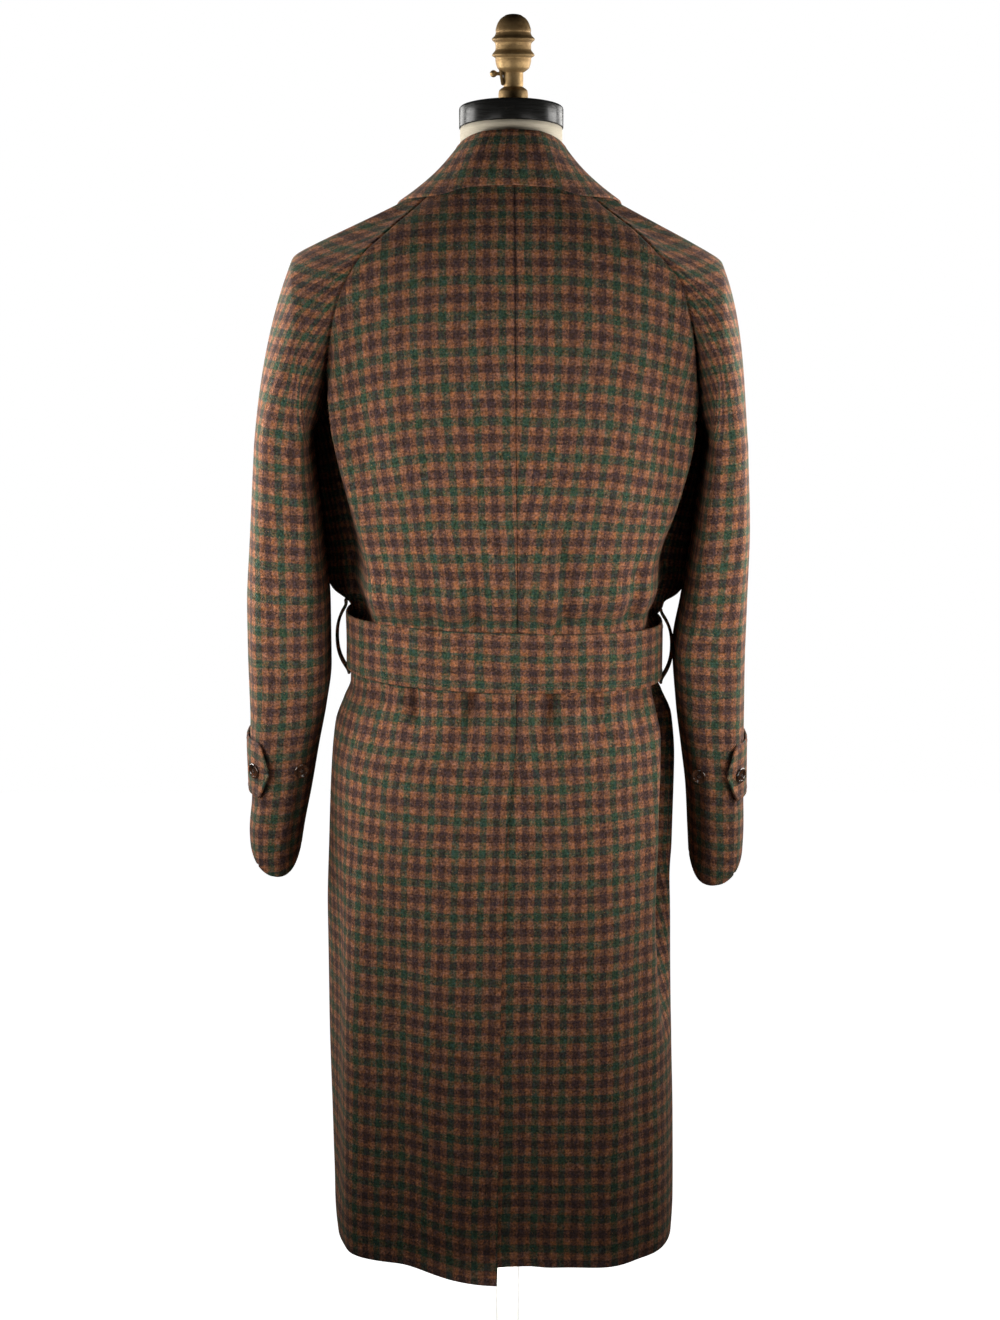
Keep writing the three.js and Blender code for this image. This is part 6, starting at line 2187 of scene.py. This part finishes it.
@dataclass
class Studio:
    """White room: camera behind the coat, soft boxes either side, pale floor."""

    camera_place: tuple[float, float, float] = (0.0084, 2.300, 1.575)
    camera_pitch: float = 12.5     # degrees below level
    lens: float = 60.0
    sensor: float = 36.0
    aim: tuple[float, float, float] = (0.0, 0.0, 1.19)
    grid: float = 116.0            # degrees that a soft box's grid lets through
    # Pairs of soft boxes, one either side: x, y, z, width, height, watts.
    boxes: tuple[tuple[float, ...], ...] = (
        (0.60, 0.46, 1.18, 0.35, 0.50, 1.40),
        (0.56, 0.84, 1.20, 0.42, 0.60, 1.02),
        (0.74, -0.13, 1.46, 0.35, 0.50, 4.2),
        (0.95, -1.05, 1.35, 0.60, 0.90, 4.0),
    )
    # A pair of gridded lamps near the floor, on the strip of pole under the hem.
    pole_light: tuple[float, ...] = (0.45, 1.00, 0.10, 0.10, 0.10, 0.12)
    pole_aim: tuple[float, float, float] = (-0.005, 0.0, 0.345)
    pole_grid: float = 12.0
    floor_reach: float = 3.2
    floor_glow: float = 0.55       # keeps the floor near white without lighting the coat
    ambient: float = 0.02

    def camera(self) -> None:
        """Sets the camera up."""
        lens = bpy.data.cameras.new("camera")
        lens.lens, lens.sensor_width, lens.sensor_height = self.lens, self.sensor, self.sensor
        lens.sensor_fit = "AUTO"
        lens.clip_end = 100.0
        eye = put("camera", lens)
        eye.location = self.camera_place
        eye.rotation_euler = (math.radians(90 - self.camera_pitch), 0.0, math.pi)
        bpy.context.scene.camera = eye

    def _box(self, name: str, place: Sequence[float], aim: Vector, grid: float) -> None:
        """Adds one soft box that faces its aim."""
        x, y, z, wide, high, watts = place
        light = bpy.data.lights.new(name, "AREA")
        light.shape, light.size, light.size_y, light.energy = "RECTANGLE", wide, high, watts
        light.color, light.spread = (1.0, 0.985, 0.96), math.radians(grid)
        lamp = put(name, light)
        lamp.location = (x, y, z)
        lamp.rotation_euler = (aim - Vector((x, y, z))).to_track_quat("-Z", "Y").to_euler()
        lamp.visible_camera = False

    def _boxes(self, name: str, number: str, place: Sequence[float], aim: Sequence[float],
               grid: float) -> None:
        """Adds a pair of soft boxes, one either side."""
        for side in Side:
            self._box(f"{name}_{side.word}{number}", (side.value * place[0], *place[1:]),
                      Vector(aim), grid)

    def _floor(self) -> None:
        """Lays the pale floor."""
        mesh = bpy.data.meshes.new("floor")
        reach = self.floor_reach
        corners = ((-1, -1), (1, -1), (1, 1), (-1, 1))
        mesh.from_pydata([(x * reach, y * reach, 0) for x, y in corners], [], [(0, 1, 2, 3)])
        floor = put("floor", mesh)
        shader = Shader("floor")
        mottle = shader.noise(shader.places(), 0.4, 2.0)
        seen = shader.node("ShaderNodeLightPath").outputs["Is Camera Ray"]
        pale = shader.mix(mottle, (0.86, 0.86, 0.86, 1.0), (0.9, 0.9, 0.9, 1.0))
        colour = shader.mix(seen, (0.25, 0.25, 0.25, 1.0), pale)
        away = shader.node("ShaderNodeVectorMath", operation="LENGTH")
        shader.join(shader.places(), away.inputs[0])
        glow = shader.sum("MULTIPLY", seen, shader.spread(away.outputs["Value"], self.floor_glow,
                                                          1.0, 0.25, 0.55))
        mesh.materials.append(shader.finish(
            Base_Color=colour, Roughness=0.9, Specular_IOR_Level=0.1,
            Emission_Color=(1, 1, 1, 1), Emission_Strength=glow))

    def _world(self) -> None:
        """Sets a background that looks white and lights the coat only a little."""
        world = bpy.data.worlds.new("studio")
        bpy.context.scene.world = world
        world.use_nodes = True
        tree = world.node_tree
        ground = tree.nodes["Background"]
        ground.inputs["Color"].default_value = (1, 1, 1, 1)
        rays = tree.nodes.new("ShaderNodeLightPath")
        level = tree.nodes.new("ShaderNodeMapRange")
        level.inputs["To Min"].default_value = self.ambient
        level.inputs["To Max"].default_value = 1.0
        tree.links.new(rays.outputs["Is Camera Ray"], level.inputs["Value"])
        tree.links.new(level.outputs["Result"], ground.inputs["Strength"])

    def build(self) -> None:
        """Builds the whole studio."""
        self.camera()
        for number, box in enumerate(self.boxes, 1):
            self._boxes("soft_box", f"_{number}", box, self.aim, self.grid)
        self._boxes("pole_light", "", self.pole_light, self.pole_aim, self.pole_grid)
        self._floor()
        self._world()
        bpy.context.scene.view_settings.view_transform = "Standard"


@dataclass
class Dresser:
    """Gives each piece its finish and its body."""

    finishes: dict[str, Material]
    made: int = 0

    def hard(self, piece: Piece, finish: str, node: str | None = None,
             body: str = "root") -> None:
        """Dresses a piece that isn't cloth.

        Args:
            piece: The piece.
            finish: Name of its finish.
            node: The CAD node that it stands for, if any.
            body: The body that it rides on.
        """
        piece.data.materials.clear()
        piece.data.materials.append(self.finishes[finish])
        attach(piece, body)
        if node:
            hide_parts(node)
        self.made += 1
        log.info("%s: %d faces, %s", piece.name, len(piece.data.polygons), finish)

    def cloth(self, cloth: "Cloth", node: str, held: str, rests_on: Sequence[str]) -> None:
        """Dresses a piece of the wool."""
        self.hard(cloth.piece, "wool_check", node)


def main() -> None:
    """Builds the studio, the form and the coat in order."""
    logging.basicConfig(level=logging.INFO, format="%(name)s %(message)s")
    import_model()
    Studio().build()
    dresser = Dresser({
        "wool_check": WoolCheck().material(), "horn": Horn().material(),
        "aged_brass": AgedBrass().material(), "black_lacquer": BlackLacquer().material(),
        "linen": Linen().material(), "cast_iron": CastIron().material(),
        "pale_enamel": PaleEnamel().material(),
        "dark_thread": Thread(srgb(52, 38, 30), "dark_thread").material(),
        "wool_thread": Thread(srgb(78, 56, 42), "wool_thread").material(),
    })
    form, plan = CoatForm(), CheckPlan()
    panels, sleeves, collar = BodyPanels(form, plan), Sleeves(form, plan), Collar()
    belt, stitches = Belt(form), StitchRows()

    for side in Side:
        back = "back_left" if side is Side.RIGHT else "form_torso"
        dresser.cloth(panels.back(side), f"back_{side.word}", "hung", [back])
        dresser.cloth(panels.front(side), f"front_{side.word}", "hung", ["form_torso"])
        dresser.cloth(panels.lapel(side), f"lapel_{side.word}", "folded", [f"front_{side.word}"])
        for cloth, half in zip(sleeves.build(side), ("back", "front")):
            dresser.cloth(cloth, f"sleeve_{side.word}_{half}", "hung", [f"back_{side.word}"])
        dresser.cloth(sleeves.tab(side), f"tab_{side.word}", "laid", [f"sleeve_{side.word}_back"])
        dresser.cloth(belt.loop(side), f"belt_loop_{side.word}", "hung", [f"back_{side.word}"])
    dresser.cloth(collar.leaf(), "collar_leaf", "folded", ["collar_stand"])
    dresser.cloth(collar.stand(), "collar_stand", "stretched", ["back_left", "back_right"])
    dresser.cloth(belt.band(), "belt", "stretched", ["back_left", "back_right"])
    dresser.cloth(belt.free_end(), "belt_end", "laid", ["belt"])
    dresser.hard(belt.buckle(), "horn", "buckle")

    buttons, thread = Buttons(form, sleeves).build()
    for button in buttons:
        dresser.hard(button, "horn", button.name.removeprefix("horn_"))
    dresser.hard(thread, "dark_thread")

    topstitching = Topstitching(belt, sleeves)
    wool_thread = dresser.finishes["wool_thread"]
    rows = {"stitches_belt": topstitching.belt_lines()}
    for side in Side:
        rows[f"stitches_tab_{side.word}"] = topstitching.tab_lines(side)
    for name, lines in rows.items():
        dresser.hard(stitches.build(name, lines, wool_thread), "wool_thread")

    figure = DressForm(form)
    dresser.hard(figure.torso(), "linen", "form_torso")
    dresser.hard(figure.cap(), "black_lacquer", "neck_cap")
    dresser.hard(figure.finial(), "aged_brass", "finial")
    dresser.hard(figure.screw(), "aged_brass", "thumb_screw", "thumb_screw")
    for piece, finish, node in zip(figure.stand(), ("pale_enamel", "pale_enamel", "cast_iron"),
                                   ("pole", "pole_collar", "base")):
        dresser.hard(piece, finish, node)

    log.info("%d pieces", dresser.made)


if __name__ == "__main__":
    main()
